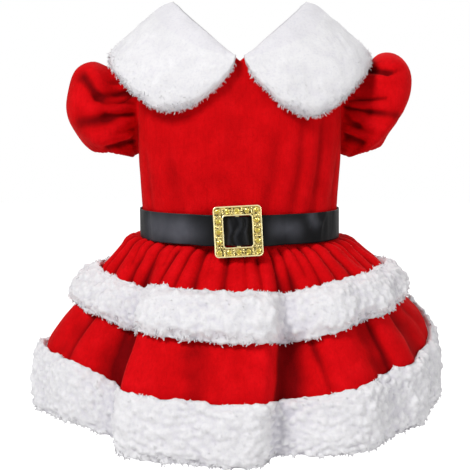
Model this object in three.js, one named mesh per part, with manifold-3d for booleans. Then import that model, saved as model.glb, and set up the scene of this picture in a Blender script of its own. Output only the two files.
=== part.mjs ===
import * as THREE from "three";
import { mergeVertices } from "three/addons/utils/BufferGeometryUtils.js";
import Module from "manifold-3d";

// A small dog's Santa dress in red velour, filled out as it is when worn, in millimetres.
// The front faces -Y, +X is on the right as seen from the front, and +Z is up.
// The origin is the middle of the neck opening, level with the top of the shoulders.
// A turn is an angle round the body: 0 is the front middle, 90 the side at +X, 180 the back middle.

// Cloth thicknesses and clearances
const VELOUR = 1.5;
const RIBBON = 1.0;
const COLLAR_PILE = 6.5;
const BAND_PILE = 7.0;
const HEM_PILE = 6.5;
const HEM_PILE_INSIDE = 3.0;
const SEAM = 0.3;

// Heights of the cutting lines
const WAIST_Z = -143.4;
const NECK_POINT_Z = -4;
const FRONT_NECK_Z = -38;
const BACK_NECK_Z = -40;

// The armhole is an oval, seen from the side
const ARMHOLE = { z: -64, halfHeight: 34, halfDepth: 22 };

// The bodice, one row for each level. Squareness 2 is an ellipse, and more is boxier.
const BODICE_LEVELS = [
  { z: -143.4, halfWidth: 65.0, halfDepth: 54.2, squareness: 2.15 },
  { z: -124, halfWidth: 66.0, halfDepth: 55.5, squareness: 2.3 },
  { z: -102, halfWidth: 67.3, halfDepth: 56.5, squareness: 2.5 },
  { z: -74, halfWidth: 68.0, halfDepth: 56.0, squareness: 2.5 },
  { z: -50, halfWidth: 68.0, halfDepth: 52.5, squareness: 2.5 },
  { z: -34, halfWidth: 67.0, halfDepth: 47.5, squareness: 2.5 },
  { z: -24, halfWidth: 63.5, halfDepth: 42.5, squareness: 2.5 },
  { z: -4, halfWidth: 44.5, halfDepth: 30.0, squareness: 2.5 },
];

// The half width of the cape-like surface that the collar lies on: the shoulders, carried on outwards
const CAPE_LEVELS = [
  { z: -78, halfWidth: 98.0 },
  { z: -62, halfWidth: 96.0 },
  { z: -50, halfWidth: 92.5 },
  { z: -38, halfWidth: 85.0 },
  { z: -24, halfWidth: 69.5 },
  { z: -4, halfWidth: 47.0 },
  { z: 1, halfWidth: 41.8 },
  { z: 6, halfWidth: 36.5 },
];

// One collar wing, from the front middle to the top of the shoulder: where its neck edge and its
// outer edge lie. The back half is the same, reflected.
const COLLAR_STATIONS = [
  { neckTurn: 0.7, neckZ: -36.2, edgeTurn: 1.1, edgeZ: -41.0 },
  { neckTurn: 2.0, neckZ: -34.0, edgeTurn: 3.2, edgeZ: -50.0 },
  { neckTurn: 6.1, neckZ: -28.6, edgeTurn: 7.0, edgeZ: -59.0 },
  { neckTurn: 11.5, neckZ: -22.9, edgeTurn: 12.5, edgeZ: -67.5 },
  { neckTurn: 19.0, neckZ: -17.0, edgeTurn: 19.0, edgeZ: -72.3 },
  { neckTurn: 30.0, neckZ: -10.9, edgeTurn: 26.5, edgeZ: -71.0 },
  { neckTurn: 42.0, neckZ: -6.2, edgeTurn: 35.5, edgeZ: -63.8 },
  { neckTurn: 52.0, neckZ: -3.2, edgeTurn: 47.0, edgeZ: -53.0 },
  { neckTurn: 64.0, neckZ: -1.0, edgeTurn: 60.0, edgeZ: -44.0 },
  { neckTurn: 77.0, neckZ: 0.8, edgeTurn: 75.0, edgeZ: -38.5 },
  { neckTurn: 90.0, neckZ: 1.4, edgeTurn: 90.0, edgeZ: -36.5 },
];

// How far the fleece of the collar stands up, from its neck edge (0) to its outer edge (1)
const COLLAR_PROFILE = [
  { across: 0.0, height: 0.4 },
  { across: 0.12, height: 0.85 },
  { across: 0.4, height: 1.0 },
  { across: 0.7, height: 1.0 },
  { across: 0.92, height: 0.85 },
  { across: 1.0, height: 0.35 },
];

// One puff sleeve, from the armhole (0) to the cuff (1). Each row is an oval: its outer end, its
// inner end beside the body, half its depth from front to back, and the height of its gathers.
const SLEEVE_SECTIONS = [
  { along: 0.0, outerX: 67.5, outerZ: -31.7, innerX: 67.8, innerZ: -96.3, halfDepth: 20.3, gather: 0.1 },
  { along: 0.05, outerX: 71.0, outerZ: -32.1, innerX: 70.4, innerZ: -96.6, halfDepth: 20.4, gather: 0.2 },
  { along: 0.16, outerX: 84.0, outerZ: -40.0, innerX: 71.8, innerZ: -97.6, halfDepth: 27.5, gather: 1.7 },
  { along: 0.3, outerX: 99.0, outerZ: -36.0, innerX: 72.2, innerZ: -98.4, halfDepth: 32.0, gather: 1.5 },
  { along: 0.42, outerX: 110.5, outerZ: -42.0, innerX: 72.6, innerZ: -98.9, halfDepth: 33.5, gather: 1.0 },
  { along: 0.58, outerX: 115.8, outerZ: -60.0, innerX: 73.0, innerZ: -99.0, halfDepth: 34.0, gather: 0.8 },
  { along: 0.72, outerX: 114.6, outerZ: -74.0, innerX: 73.4, innerZ: -98.8, halfDepth: 32.0, gather: 0.9 },
  { along: 0.86, outerX: 106.5, outerZ: -88.0, innerX: 74.0, innerZ: -98.0, halfDepth: 26.5, gather: 1.3 },
  { along: 0.95, outerX: 98.5, outerZ: -95.0, innerX: 75.0, innerZ: -96.2, halfDepth: 20.0, gather: 1.2 },
  { along: 1.0, outerX: 96.0, outerZ: -92.0, innerX: 76.4, innerZ: -91.8, halfDepth: 16.5, gather: 0.5 },
];
// How far each sleeve is raised, as a turn about the middle of its armhole, and how much nearer to the
// body the outer side of its cuff sits
const SLEEVE_POSES = { left: { raised: 1, nearer: 0 }, right: { raised: 9, nearer: 11 } };
const SLEEVE_GATHERS = 14;
const SLEEVE_ROWS = [0, 0.05, 0.16, 0.3, 0.44, 0.6, 0.8, 1];

// The skirt, from the waist seam (0) to the hem (1): its level at the front, how much higher it is
// at the sides, its half width and half depth, its shift towards -X, the height of the small
// gathers, and the shares of the large folds' depth and sag below.
const SKIRT_LEVELS = [
  { down: 0, z: -143.7, rise: 0, halfWidth: 63.8, halfDepth: 53.2, shift: 0, gather: 0.1, fold: 0, sag: 0 },
  { down: 0.09, z: -153.8, rise: 0, halfWidth: 64.2, halfDepth: 53.4, shift: 0, gather: 0.3, fold: 0, sag: 0 },
  { down: 0.18, z: -161, rise: 3, halfWidth: 78, halfDepth: 60, shift: 0, gather: 1.8, fold: 0.1, sag: 0.1 },
  { down: 0.34, z: -177, rise: 11, halfWidth: 96.5, halfDepth: 77, shift: 0.3, gather: 2.2, fold: 0.45, sag: 0.7 },
  { down: 0.5, z: -193.5, rise: 12.5, halfWidth: 104, halfDepth: 88, shift: 0.5, gather: 0.7, fold: 0.7, sag: 1 },
  { down: 0.62, z: -207.5, rise: 12.5, halfWidth: 110, halfDepth: 95, shift: 1, gather: 0.7, fold: 0.85, sag: 1 },
  { down: 0.82, z: -241.5, rise: 16, halfWidth: 130.5, halfDepth: 111, shift: 2, gather: 0.3, fold: 1, sag: 0.85 },
  { down: 1, z: -274.5, rise: 10, halfWidth: 135.5, halfDepth: 117, shift: 2.5, gather: 0, fold: 1.05, sag: 0 },
];
const SEAM_SHARE = 0.004;

// The large folds of the skirt: the deepest line of each trough at the middle band, how far that line
// has turned by the hem, how far the trough spreads before and after it, its depth at the hem, and how
// much lower its cloth hangs in mid-fall. Where a spread is small, the panel beside it has a sharp edge.
const SKIRT_FOLDS = [
  { turn: -64, swing: -2, before: 7, after: 7, depth: 4, sag: 3 },
  { turn: -40, swing: 2, before: 17, after: 4.5, depth: 17, sag: 7 },
  { turn: -13, swing: 2, before: 7, after: 7, depth: 3, sag: 0 },
  { turn: 17, swing: -5, before: 4.5, after: 13, depth: 18, sag: 5 },
  { turn: 45, swing: 3, before: 7, after: 9, depth: 7, sag: 0 },
  { turn: 68, swing: 3, before: 7, after: 7, depth: 5, sag: 1 },
  { turn: 103, swing: -2, before: 9, after: 11, depth: 11, sag: 1 },
  { turn: 134, swing: 3, before: 12, after: 7, depth: 15, sag: 3 },
  { turn: 166, swing: -3, before: 8, after: 12, depth: 14, sag: 3 },
  { turn: 199, swing: 2, before: 12, after: 8, depth: 15, sag: 3 },
  { turn: 231, swing: -2, before: 9, after: 11, depth: 13, sag: 3 },
  { turn: 262, swing: 2, before: 11, after: 8, depth: 12, sag: 2 },
];

// Where the hem kicks up and out: a little way behind the right side, where it shows past the cloth in
// front of it, and less beside the left front fold
const HEM_KICKS = [
  { turn: 106, spread: 17, up: 24, out: 7 },
  { turn: -55, spread: 14, up: 5, out: 0 },
];
const UPPER_GATHERS = 46;
const LOWER_GATHERS = 30;
const SAMPLES_PER_GATHER = 4;
const UPPER_ROWS = [0, 0.09, 0.18, 0.34, 0.5 - SEAM_SHARE];
const LOWER_ROWS = [0.5 + SEAM_SHARE, 0.62, 0.72, 0.83 - SEAM_SHARE];

// The two fleece bands of the skirt. Each row goes down the band: how far its inner and outer faces
// stand from the cloth that it follows.
const BAND_PROFILE = [
  { down: 0.375, inner: 4.2, outer: 5.6 },
  { down: 0.41, inner: 4.2, outer: 4.2 + BAND_PILE * 0.85 },
  { down: 0.49, inner: 3.5, outer: 3.5 + BAND_PILE },
  { down: 0.59, inner: 3.0, outer: 3.0 + BAND_PILE },
  { down: 0.625, inner: 3.0, outer: 4.2 },
];
const BAND_COLUMNS = 90;
const HEM_PROFILE = [
  { down: 0.816, inner: 3.0, outer: 4.4 },
  { down: 0.834, inner: 2.9, outer: 6.4 },
  { down: 0.865, inner: -HEM_PILE_INSIDE * 0.8, outer: HEM_PILE },
  { down: 0.97, inner: -HEM_PILE_INSIDE, outer: HEM_PILE },
  { down: 1.012, inner: -0.8, outer: 3.6 },
];
const HEM_COLUMNS = 90;

// The satin belt
const BELT = { top: -133.6, bottom: -153.2, clear: 2.7, columns: 80 };

// The buckle: a slide with a bar down its middle. The gathers below push its lower end outwards.
const BUCKLE = { x: -1.2, y: -61.4, z: -143.8, width: 30.4, height: 32, rail: 6.2, thick: 2.8 };
const BUCKLE_CORNER = 2.6;
const BUCKLE_TILT = 3;
const BUCKLE_LEAN = 8;
const BUCKLE_BAR = { width: 2.4, thick: 0.9 };

// The path of the belt through the buckle: how far its inner face stands in front of the back of the
// buckle, how much of its own ring it gives up for that path, and how far its edges are pinched in.
const BELT_THREAD = [
  { aside: 0, ahead: 1.45, share: 1, pinch: 1.3 },
  { aside: 2, ahead: 1.45, share: 1, pinch: 1.3 },
  { aside: 8, ahead: -1.5, share: 1, pinch: 1.1 },
  { aside: 17, ahead: -1.7, share: 1, pinch: 0 },
  { aside: 30, ahead: -1.7, share: 0, pinch: 0 },
];

const radians = THREE.MathUtils.degToRad;
const signedPower = (value, power) => Math.sign(value) * Math.abs(value) ** power;

// A smooth curve through one column of a table, read at a value of its key column.
function read(table, key, at, column) {
  const rows = table[0][key] <= table.at(-1)[key] ? table : table.toReversed();
  let i = 0;
  while (i < rows.length - 2 && at > rows[i + 1][key]) i++;
  const slope = (a, b) => (rows[b][column] - rows[a][column]) / (rows[b][key] - rows[a][key]);
  const before = i > 0 ? slope(i - 1, i + 1) : slope(0, 1);
  const after = i < rows.length - 2 ? slope(i, i + 2) : slope(i, i + 1);
  const step = rows[i + 1][key] - rows[i][key];
  const t = THREE.MathUtils.clamp((at - rows[i][key]) / step, -0.2, 1.2);
  return (
    rows[i][column] * (2 * t ** 3 - 3 * t ** 2 + 1) +
    before * step * (t ** 3 - 2 * t ** 2 + t) +
    rows[i + 1][column] * (3 * t ** 2 - 2 * t ** 3) +
    after * step * (t ** 3 - t ** 2)
  );
}

// The outward direction of a surface, a function of two numbers, at one of its points.
function normalOf(surface, u, v, stepU, stepV) {
  const across = surface(u + stepU, v).sub(surface(u - stepU, v));
  const along = surface(u, v + stepV).sub(surface(u, v - stepV));
  return across.cross(along).normalize();
}

// Collects the faces of one closed piece.
class Skin {
  constructor() {
    this.corners = [];
  }

  quad(a, b, c, d, turned = false) {
    const order = turned ? [a, c, b, a, d, c] : [a, b, c, a, c, d];
    for (const point of order) this.corners.push(point.x, point.y, point.z);
  }

  strip(first, second, turned = false) {
    for (let j = 0; j + 1 < first.length; j++)
      this.quad(first[j], first[j + 1], second[j + 1], second[j], turned);
  }

  // The finished geometry, turned right side out.
  geometry() {
    const made = new THREE.BufferGeometry();
    made.setAttribute("position", new THREE.Float32BufferAttribute(this.corners, 3));
    const merged = mergeVertices(made, 1e-3);
    if (signedVolume(merged) < 0) {
      const corners = merged.index.array;
      for (let i = 0; i < corners.length; i += 3)
        [corners[i + 1], corners[i + 2]] = [corners[i + 2], corners[i + 1]];
    }
    merged.computeVertexNormals();
    return merged;
  }
}

function signedVolume(geometry) {
  const [a, b, c] = [new THREE.Vector3(), new THREE.Vector3(), new THREE.Vector3()];
  const { position } = geometry.attributes;
  const corners = geometry.index.array;
  let volume = 0;
  for (let i = 0; i < corners.length; i += 3) {
    a.fromBufferAttribute(position, corners[i]);
    b.fromBufferAttribute(position, corners[i + 1]);
    c.fromBufferAttribute(position, corners[i + 2]);
    volume += a.dot(b.cross(c)) / 6;
  }
  return volume;
}

// A ring, or an open strip with two end caps, through closed cross-sections. Each section is the
// outer face's points in order, and then the inner face's points in the opposite order.
function loft(sections, isRing) {
  const skin = new Skin();
  const closed = sections.map((section) => [...section, section[0]]);
  const count = isRing ? closed.length : closed.length - 1;
  for (let i = 0; i < count; i++) skin.strip(closed[i], closed[(i + 1) % closed.length]);
  if (!isRing) {
    cap(skin, sections[0], true);
    cap(skin, sections.at(-1), false);
  }
  return skin.geometry();
}

function cap(skin, section, turned) {
  const last = section.length - 1;
  for (let i = 0; 2 * i + 1 < last; i++)
    skin.quad(section[i], section[i + 1], section[last - i - 1], section[last - i], turned);
}

// A tube of cloth of one thickness round a surface of (turn, row).
function clothTube(surface, normal, turns, rows, thickness) {
  const sections = turns.map((turn) => {
    const faces = rows.map((row) => ({ point: surface(turn, row), out: normal(turn, row) }));
    const outer = faces.map((f) => f.point.clone().addScaledVector(f.out, thickness / 2));
    const inner = faces.map((f) => f.point.clone().addScaledVector(f.out, -thickness / 2));
    return [...outer, ...inner.reverse()];
  });
  return loft(sections, true);
}

const around = (count) => Array.from({ length: count }, (_, i) => (i * 360) / count);

// The bodice

function bodyPoint(turn, z, halfWidth) {
  const power = 2 / read(BODICE_LEVELS, "z", z, "squareness");
  const x = halfWidth * signedPower(Math.sin(radians(turn)), power);
  const y = -read(BODICE_LEVELS, "z", z, "halfDepth") * signedPower(Math.cos(radians(turn)), power);
  return new THREE.Vector3(x, y, z);
}

const bodice = (turn, z) => bodyPoint(turn, z, read(BODICE_LEVELS, "z", z, "halfWidth"));
const bodiceNormal = (turn, z) => normalOf(bodice, turn, z, 0.5, 0.5);

// The turn at which the bodice is this far aside of the middle, or this far forward.
function turnAside(x, z) {
  const share = Math.min(1, x / read(BODICE_LEVELS, "z", z, "halfWidth"));
  return THREE.MathUtils.radToDeg(Math.asin(share ** (read(BODICE_LEVELS, "z", z, "squareness") / 2)));
}

function turnForward(y, z) {
  const share = Math.min(1, y / read(BODICE_LEVELS, "z", z, "halfDepth"));
  return THREE.MathUtils.radToDeg(Math.acos(share ** (read(BODICE_LEVELS, "z", z, "squareness") / 2)));
}

// Soft drag lines that rise from the waist, deepest at the waist seam
function bodiceCrease(turn, z) {
  const fade = THREE.MathUtils.smoothstep(-z, 85, 146);
  return 0.7 * fade * Math.cos(radians(turn * 11 + 25)) * (0.6 + 0.4 * Math.cos(radians(turn * 3)));
}

const NECK_HALF_WIDTH = 41;
const BODICE_COLUMNS = 8;
const ARMHOLE_ROWS = 10;

// The front panel, or the back panel, which is its reflection with its own neckline
function bodicePanel(isFront) {
  const neckZ = isFront ? FRONT_NECK_Z : BACK_NECK_Z;
  const armholeLevels = Array.from(
    { length: ARMHOLE_ROWS + 1 },
    (_, i) => ARMHOLE.z - ARMHOLE.halfHeight * Math.cos((Math.PI * i) / ARMHOLE_ROWS),
  );
  const otherLevels = [WAIST_Z + SEAM / 2, -130, -115, neckZ, -24, -14, NECK_POINT_Z];
  const levels = [...armholeLevels, ...otherLevels].sort((a, b) => a - b);
  const neckTurn = (z) => turnAside((NECK_HALF_WIDTH * (z - neckZ)) / (NECK_POINT_Z - neckZ), z);
  const sideTurn = (z) => {
    const up = (z - ARMHOLE.z) / ARMHOLE.halfHeight;
    const forward = Math.abs(up) < 1 ? ARMHOLE.halfDepth * Math.sqrt(1 - up * up) : 0;
    return turnForward(Math.max(forward, SEAM / 2), z);
  };
  const skin = new Skin();
  for (const side of [1, -1]) {
    const turned = (side === 1) !== isFront;
    const rows = levels.map((z) => {
      const from = z > neckZ ? neckTurn(z) : 0;
      const to = sideTurn(z);
      const faces = Array.from({ length: BODICE_COLUMNS + 1 }, (_, j) => {
        const turn = side * (from + ((to - from) * j) / BODICE_COLUMNS);
        const seen = isFront ? turn : 180 - turn;
        const out = bodiceNormal(seen, z);
        const point = bodice(seen, z).addScaledVector(out, bodiceCrease(seen, z));
        return { point, out };
      });
      const outer = faces.map((f) => f.point.clone().addScaledVector(f.out, VELOUR / 2));
      const inner = faces.map((f) => f.point.clone().addScaledVector(f.out, -VELOUR / 2));
      return { z, outer, inner };
    });
    for (let i = 0; i + 1 < rows.length; i++) {
      const [low, high] = [rows[i], rows[i + 1]];
      skin.strip(low.outer, high.outer, turned);
      skin.strip(low.inner, high.inner, !turned);
      const last = BODICE_COLUMNS;
      skin.quad(low.outer[last], low.inner[last], high.inner[last], high.outer[last], turned);
      if (high.z > neckZ)
        skin.quad(low.outer[0], low.inner[0], high.inner[0], high.outer[0], !turned);
    }
    skin.strip(rows[0].inner, rows[0].outer, turned);
    skin.strip(rows.at(-1).outer, rows.at(-1).inner, turned);
  }
  return skin.geometry();
}

// The collar

const cape = (turn, z) => bodyPoint(turn, z, read(CAPE_LEVELS, "z", z, "halfWidth"));
const capeNormal = (turn, z) => normalOf(cape, turn, z, 0.5, 0.5);
const COLLAR_CLEAR = VELOUR / 2 + SEAM + 0.3;
const COLLAR_STEPS = 26;

// One collar wing in fleece, from the front middle over the shoulder to the back middle
function collarWing(side) {
  const stations = COLLAR_STATIONS.map((row, at) => ({ at, ...row }));
  const half = stations.length - 1;
  const sections = Array.from({ length: COLLAR_STEPS + 1 }, (_, i) => {
    const progress = (2 * half * i) / COLLAR_STEPS;
    const isBack = progress > half;
    const at = isBack ? 2 * half - progress : progress;
    const [neckTurn, neckZ, edgeTurn, edgeZ] = ["neckTurn", "neckZ", "edgeTurn", "edgeZ"].map(
      (column) => read(stations, "at", at, column),
    );
    const faces = COLLAR_PROFILE.map(({ across, height }) => {
      const turn = THREE.MathUtils.lerp(neckTurn, edgeTurn, across);
      const z = THREE.MathUtils.lerp(neckZ, edgeZ, across);
      const seen = side * (isBack ? 180 - turn : turn);
      const out = capeNormal(seen, z);
      const under = cape(seen, z).addScaledVector(out, COLLAR_CLEAR);
      return { under, top: under.clone().addScaledVector(out, COLLAR_PILE * height) };
    });
    return [...faces.map((f) => f.top), ...faces.map((f) => f.under).reverse()];
  });
  return loft(sections, false);
}

// The sleeves

// The smooth puff, without gathers. A turn here goes round the sleeve: 0 is its top, 90 its front.
function puff(side, turn, along) {
  const at = (column, where = along) => read(SLEEVE_SECTIONS, "along", where, column);
  const oval = (where) => {
    const [outerX, outerZ] = [at("outerX", where), at("outerZ", where)];
    const [innerX, innerZ] = [at("innerX", where), at("innerZ", where)];
    const up = Math.cos(radians(turn));
    return new THREE.Vector3(
      (outerX + innerX) / 2 + ((outerX - innerX) / 2) * up,
      -at("halfDepth", where) * Math.sin(radians(turn)),
      (outerZ + innerZ) / 2 + ((outerZ - innerZ) / 2) * up,
    );
  };
  // At the armhole the oval bends back with the body that it is sewn to.
  const point = oval(along);
  const edge = oval(0);
  const bodyX = bodice(turnForward(Math.abs(edge.y), edge.z), edge.z).x;
  const bend = 1 - THREE.MathUtils.smoothstep(along, 0, 0.3);
  point.x += (bodyX - VELOUR / 2 - edge.x) * bend;
  // The outer side of the sleeve takes up most of its pose, and the side beside the body little.
  const { raised, nearer } = side === 1 ? SLEEVE_POSES.right : SLEEVE_POSES.left;
  const outwards = 0.5 + 0.5 * Math.cos(radians(turn));
  const swing = radians(raised) * THREE.MathUtils.smoothstep(along, 0.05, 0.4) * (0.3 + 0.7 * outwards);
  const opening = 1 - 0.65 * THREE.MathUtils.smoothstep(along, 0.84, 0.97);
  const shortening = nearer * THREE.MathUtils.smoothstep(along, 0.45, 0.9) * opening * outwards;
  const [x, z] = [point.x - edge.x - shortening, point.z - ARMHOLE.z];
  return new THREE.Vector3(
    side * (edge.x + x * Math.cos(swing) - z * Math.sin(swing)),
    point.y,
    ARMHOLE.z + z * Math.cos(swing) + x * Math.sin(swing),
  );
}

const sleeveGather = (turn, along) =>
  read(SLEEVE_SECTIONS, "along", along, "gather") *
  Math.cos(radians(turn * SLEEVE_GATHERS)) *
  (0.75 + 0.25 * Math.cos(radians(turn * 2 + 40)));

function sleeve(side) {
  const smooth = (turn, along) => puff(side, turn, along);
  const normal = (turn, along) => normalOf(smooth, turn, along, 0.5, 0.005).multiplyScalar(side);
  const gathered = (turn, along) =>
    smooth(turn, along).addScaledVector(normal(turn, along), sleeveGather(turn, along));
  const turns = around(SLEEVE_GATHERS * SAMPLES_PER_GATHER);
  return clothTube(gathered, normal, turns, SLEEVE_ROWS, VELOUR);
}

// The skirt

// How deep the large folds are at a turn, or how low they sag
function foldSize(turn, down, column) {
  const swung = THREE.MathUtils.smoothstep(down, 0.5, 1);
  return SKIRT_FOLDS.reduce((sum, fold) => {
    const from = turn - fold.turn - fold.swing * swung;
    const away = THREE.MathUtils.euclideanModulo(from + 180, 360) - 180;
    return sum + fold[column] * Math.exp(-((away / (away < 0 ? fold.before : fold.after)) ** 2));
  }, 0);
}

// How far the hem kicks up or out at a turn
function hemKick(turn, down, column) {
  const share = THREE.MathUtils.smoothstep(down, 0.52, 0.84);
  return HEM_KICKS.reduce((sum, kick) => {
    const away = THREE.MathUtils.euclideanModulo(turn - kick.turn + 180, 360) - 180;
    return sum + share * kick[column] * Math.exp(-((away / kick.spread) ** 2));
  }, 0);
}

// The skirt's smooth bell, without folds or gathers
function bell(turn, down) {
  const at = (column) => read(SKIRT_LEVELS, "down", down, column);
  const [aside, forward] = [Math.sin(radians(turn)), Math.cos(radians(turn))];
  return new THREE.Vector3(
    (at("halfWidth") + hemKick(turn, down, "out")) * aside - at("shift"),
    -(at("halfDepth") + hemKick(turn, down, "out")) * forward,
    at("z") + at("rise") * aside * aside + hemKick(turn, down, "up"),
  );
}

const bellNormal = (turn, down) => normalOf(bell, turn, down, 0.5, 0.005).negate();

// The cloth of the skirt with its large folds
function skirt(turn, down) {
  const inwards = foldSize(turn, down, "depth") * read(SKIRT_LEVELS, "down", down, "fold");
  const out = bellNormal(turn, down).setZ(0).normalize();
  const point = bell(turn, down).addScaledVector(out, -inwards);
  point.z -= foldSize(turn, down, "sag") * read(SKIRT_LEVELS, "down", down, "sag");
  return point;
}

// One tier, with its small gathers a little unevenly spaced. The gathers' crests fall on its columns.
function skirtTier(gathers, rows) {
  const spaced = (turn) => turn + (120 / gathers) * Math.sin(radians(turn * 5 + 30));
  const surface = (turn, down) => {
    const height = read(SKIRT_LEVELS, "down", down, "gather") * (0.8 + 0.2 * Math.sin(radians(turn * 7)));
    const where = spaced(turn);
    const out = bellNormal(where, down);
    return skirt(where, down).addScaledVector(out, height * Math.cos(radians(turn * gathers)));
  };
  const normal = (turn, down) => normalOf(surface, turn, down, 0.6, 0.005).negate();
  return clothTube(surface, normal, around(gathers * SAMPLES_PER_GATHER), rows, VELOUR);
}

// A band of fleece round the skirt, following its folds
function fleeceBand(profile, columns) {
  const sections = around(columns).map((turn) => {
    const faces = profile.map(({ down, inner, outer }) => {
      const out = bellNormal(turn, down);
      const point = skirt(turn, down);
      return {
        inner: point.clone().addScaledVector(out, inner),
        outer: point.clone().addScaledVector(out, outer),
      };
    });
    return [...faces.map((f) => f.outer), ...faces.map((f) => f.inner).reverse()];
  });
  return loft(sections, true);
}

// The belt and its buckle

function belt() {
  const sections = around(BELT.columns).map((step) => {
    // Columns are closest together at the front middle, where the belt is threaded through the buckle.
    const turn = step - 24 * Math.sin(radians(step));
    const out = bodiceNormal(turn, BELT.top).setZ(0).normalize();
    const ring = bodice(turn, BELT.top).addScaledVector(out, BELT.clear - RIBBON);
    const aside = Math.abs(ring.x - BUCKLE.x);
    const isThreaded = ring.y < 0 && aside < BELT_THREAD.at(-1).aside;
    const rim = (z, thickness) => {
      const point = new THREE.Vector3(ring.x + out.x * thickness, ring.y + out.y * thickness, z);
      if (!isThreaded) return point;
      point.z += Math.sign(BUCKLE.z - z) * read(BELT_THREAD, "aside", aside, "pinch");
      const back = BUCKLE.y + (point.z - BUCKLE.z) * Math.tan(radians(BUCKLE_LEAN));
      const threaded = back - read(BELT_THREAD, "aside", aside, "ahead") - thickness;
      point.y = THREE.MathUtils.lerp(point.y, threaded, read(BELT_THREAD, "aside", aside, "share"));
      return point;
    };
    return [rim(BELT.top, RIBBON), rim(BELT.bottom, RIBBON), rim(BELT.bottom, 0), rim(BELT.top, 0)];
  });
  return loft(sections, true);
}

function roundedRectangle(shape, width, height, radius) {
  const [x, y] = [width / 2 - radius, height / 2 - radius];
  shape.absarc(x, y, radius, 0, Math.PI / 2);
  shape.absarc(-x, y, radius, Math.PI / 2, Math.PI);
  shape.absarc(-x, -y, radius, Math.PI, 1.5 * Math.PI);
  shape.absarc(x, -y, radius, 1.5 * Math.PI, 2 * Math.PI);
  shape.closePath();
  return shape;
}

async function buckle() {
  const { width, height, rail, thick } = BUCKLE;
  const frame = roundedRectangle(new THREE.Shape(), width, height, BUCKLE_CORNER);
  const innerCorner = BUCKLE_CORNER * 0.7;
  const window = roundedRectangle(new THREE.Path(), width - 2 * rail, height - 2 * rail, innerCorner);
  frame.holes.push(window);
  const rim = new THREE.ExtrudeGeometry(frame, { depth: thick, bevelEnabled: false, curveSegments: 4 });
  const bar = new THREE.BoxGeometry(BUCKLE_BAR.width, height - rail, BUCKLE_BAR.thick);
  bar.translate(0, 0, BUCKLE_BAR.thick / 2);
  const wasm = await Module();
  wasm.setup();
  const solidOf = (geometry) => {
    const bare = geometry.clone().deleteAttribute("normal").deleteAttribute("uv");
    const merged = mergeVertices(bare, 1e-4);
    return new wasm.Manifold(
      new wasm.Mesh({
        numProp: 3,
        vertProperties: merged.attributes.position.array,
        triVerts: Uint32Array.from(merged.index.array),
      }),
    );
  };
  const joined = solidOf(rim).add(solidOf(bar)).getMesh();
  const made = new THREE.BufferGeometry();
  made.setAttribute("position", new THREE.Float32BufferAttribute(joined.vertProperties, 3));
  made.setIndex(Array.from(joined.triVerts));
  made.computeVertexNormals();
  return made;
}

// Materials and the finished dress

const cloth = (colour, roughness) => new THREE.MeshStandardMaterial({ color: colour, roughness });
const RED_VELOUR = cloth(0xc4060e, 0.85);
const WHITE_FLEECE = cloth(0xf2f1f3, 0.95);
const BLACK_SATIN = cloth(0x16161a, 0.35);
const GOLD = new THREE.MeshStandardMaterial({ color: 0xe6c64e, roughness: 0.25, metalness: 1 });

const dress = new THREE.Group();

function place(name, geometry, material) {
  const piece = new THREE.Mesh(geometry, material);
  piece.name = name;
  dress.add(piece);
  return piece;
}

place("bodice_front", bodicePanel(true), RED_VELOUR);
place("bodice_back", bodicePanel(false), RED_VELOUR);
for (const [name, side] of [["left", -1], ["right", 1]]) {
  place("sleeve_" + name, sleeve(side), RED_VELOUR);
  place("collar_" + name, collarWing(side), WHITE_FLEECE);
}
place("skirt_upper", skirtTier(UPPER_GATHERS, UPPER_ROWS), RED_VELOUR);
place("skirt_lower", skirtTier(LOWER_GATHERS, LOWER_ROWS), RED_VELOUR);
place("band_middle", fleeceBand(BAND_PROFILE, BAND_COLUMNS), WHITE_FLEECE);
place("band_hem", fleeceBand(HEM_PROFILE, HEM_COLUMNS), WHITE_FLEECE);
place("belt", belt(), BLACK_SATIN);
const slide = place("buckle", await buckle(), GOLD);
slide.position.set(BUCKLE.x, BUCKLE.y, BUCKLE.z);
slide.rotation.set(radians(90 - BUCKLE_LEAN), 0, 0);
slide.rotateZ(radians(BUCKLE_TILT));

export default dress;
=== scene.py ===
# %% [markdown]
# # A small dog's Santa dress in red velour
# The dress stands filled out, as it does when it is worn, with nobody in it. Its sizes come from the
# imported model, which is loaded first and stays fixed. Every soft piece is then made again here, finer,
# on the same form: velour panels with their folds and gathers, sherpa fleece with its curls, a satin
# belt, and a gilt slide buckle with stones.

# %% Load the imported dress
import math

import bmesh
import bpy
import numpy as np
from mathutils import Matrix, Vector, noise
from mathutils.kdtree import KDTree


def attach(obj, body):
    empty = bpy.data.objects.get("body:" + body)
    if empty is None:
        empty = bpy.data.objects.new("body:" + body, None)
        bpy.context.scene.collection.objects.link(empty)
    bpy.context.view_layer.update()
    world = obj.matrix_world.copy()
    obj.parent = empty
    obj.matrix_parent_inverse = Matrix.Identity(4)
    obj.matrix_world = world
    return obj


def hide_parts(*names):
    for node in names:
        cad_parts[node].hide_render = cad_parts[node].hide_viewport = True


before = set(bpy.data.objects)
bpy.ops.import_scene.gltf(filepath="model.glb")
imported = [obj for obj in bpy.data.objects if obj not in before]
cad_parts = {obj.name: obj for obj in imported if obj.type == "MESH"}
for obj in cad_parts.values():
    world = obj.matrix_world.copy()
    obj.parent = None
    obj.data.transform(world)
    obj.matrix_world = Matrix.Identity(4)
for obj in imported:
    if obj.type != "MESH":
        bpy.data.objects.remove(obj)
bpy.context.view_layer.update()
MM = 0.001
print("nodes:", sorted(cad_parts))

# %% [markdown]
# ## The camera
# The photograph looks at the dress from straight in front and a little above its middle, and points
# slightly down. That is why the belt and the hem curve downwards like a smile. A lens of about 74 mm
# at 0.66 m gives the same curves, so those numbers are used here, and the shift stays at zero.

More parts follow.
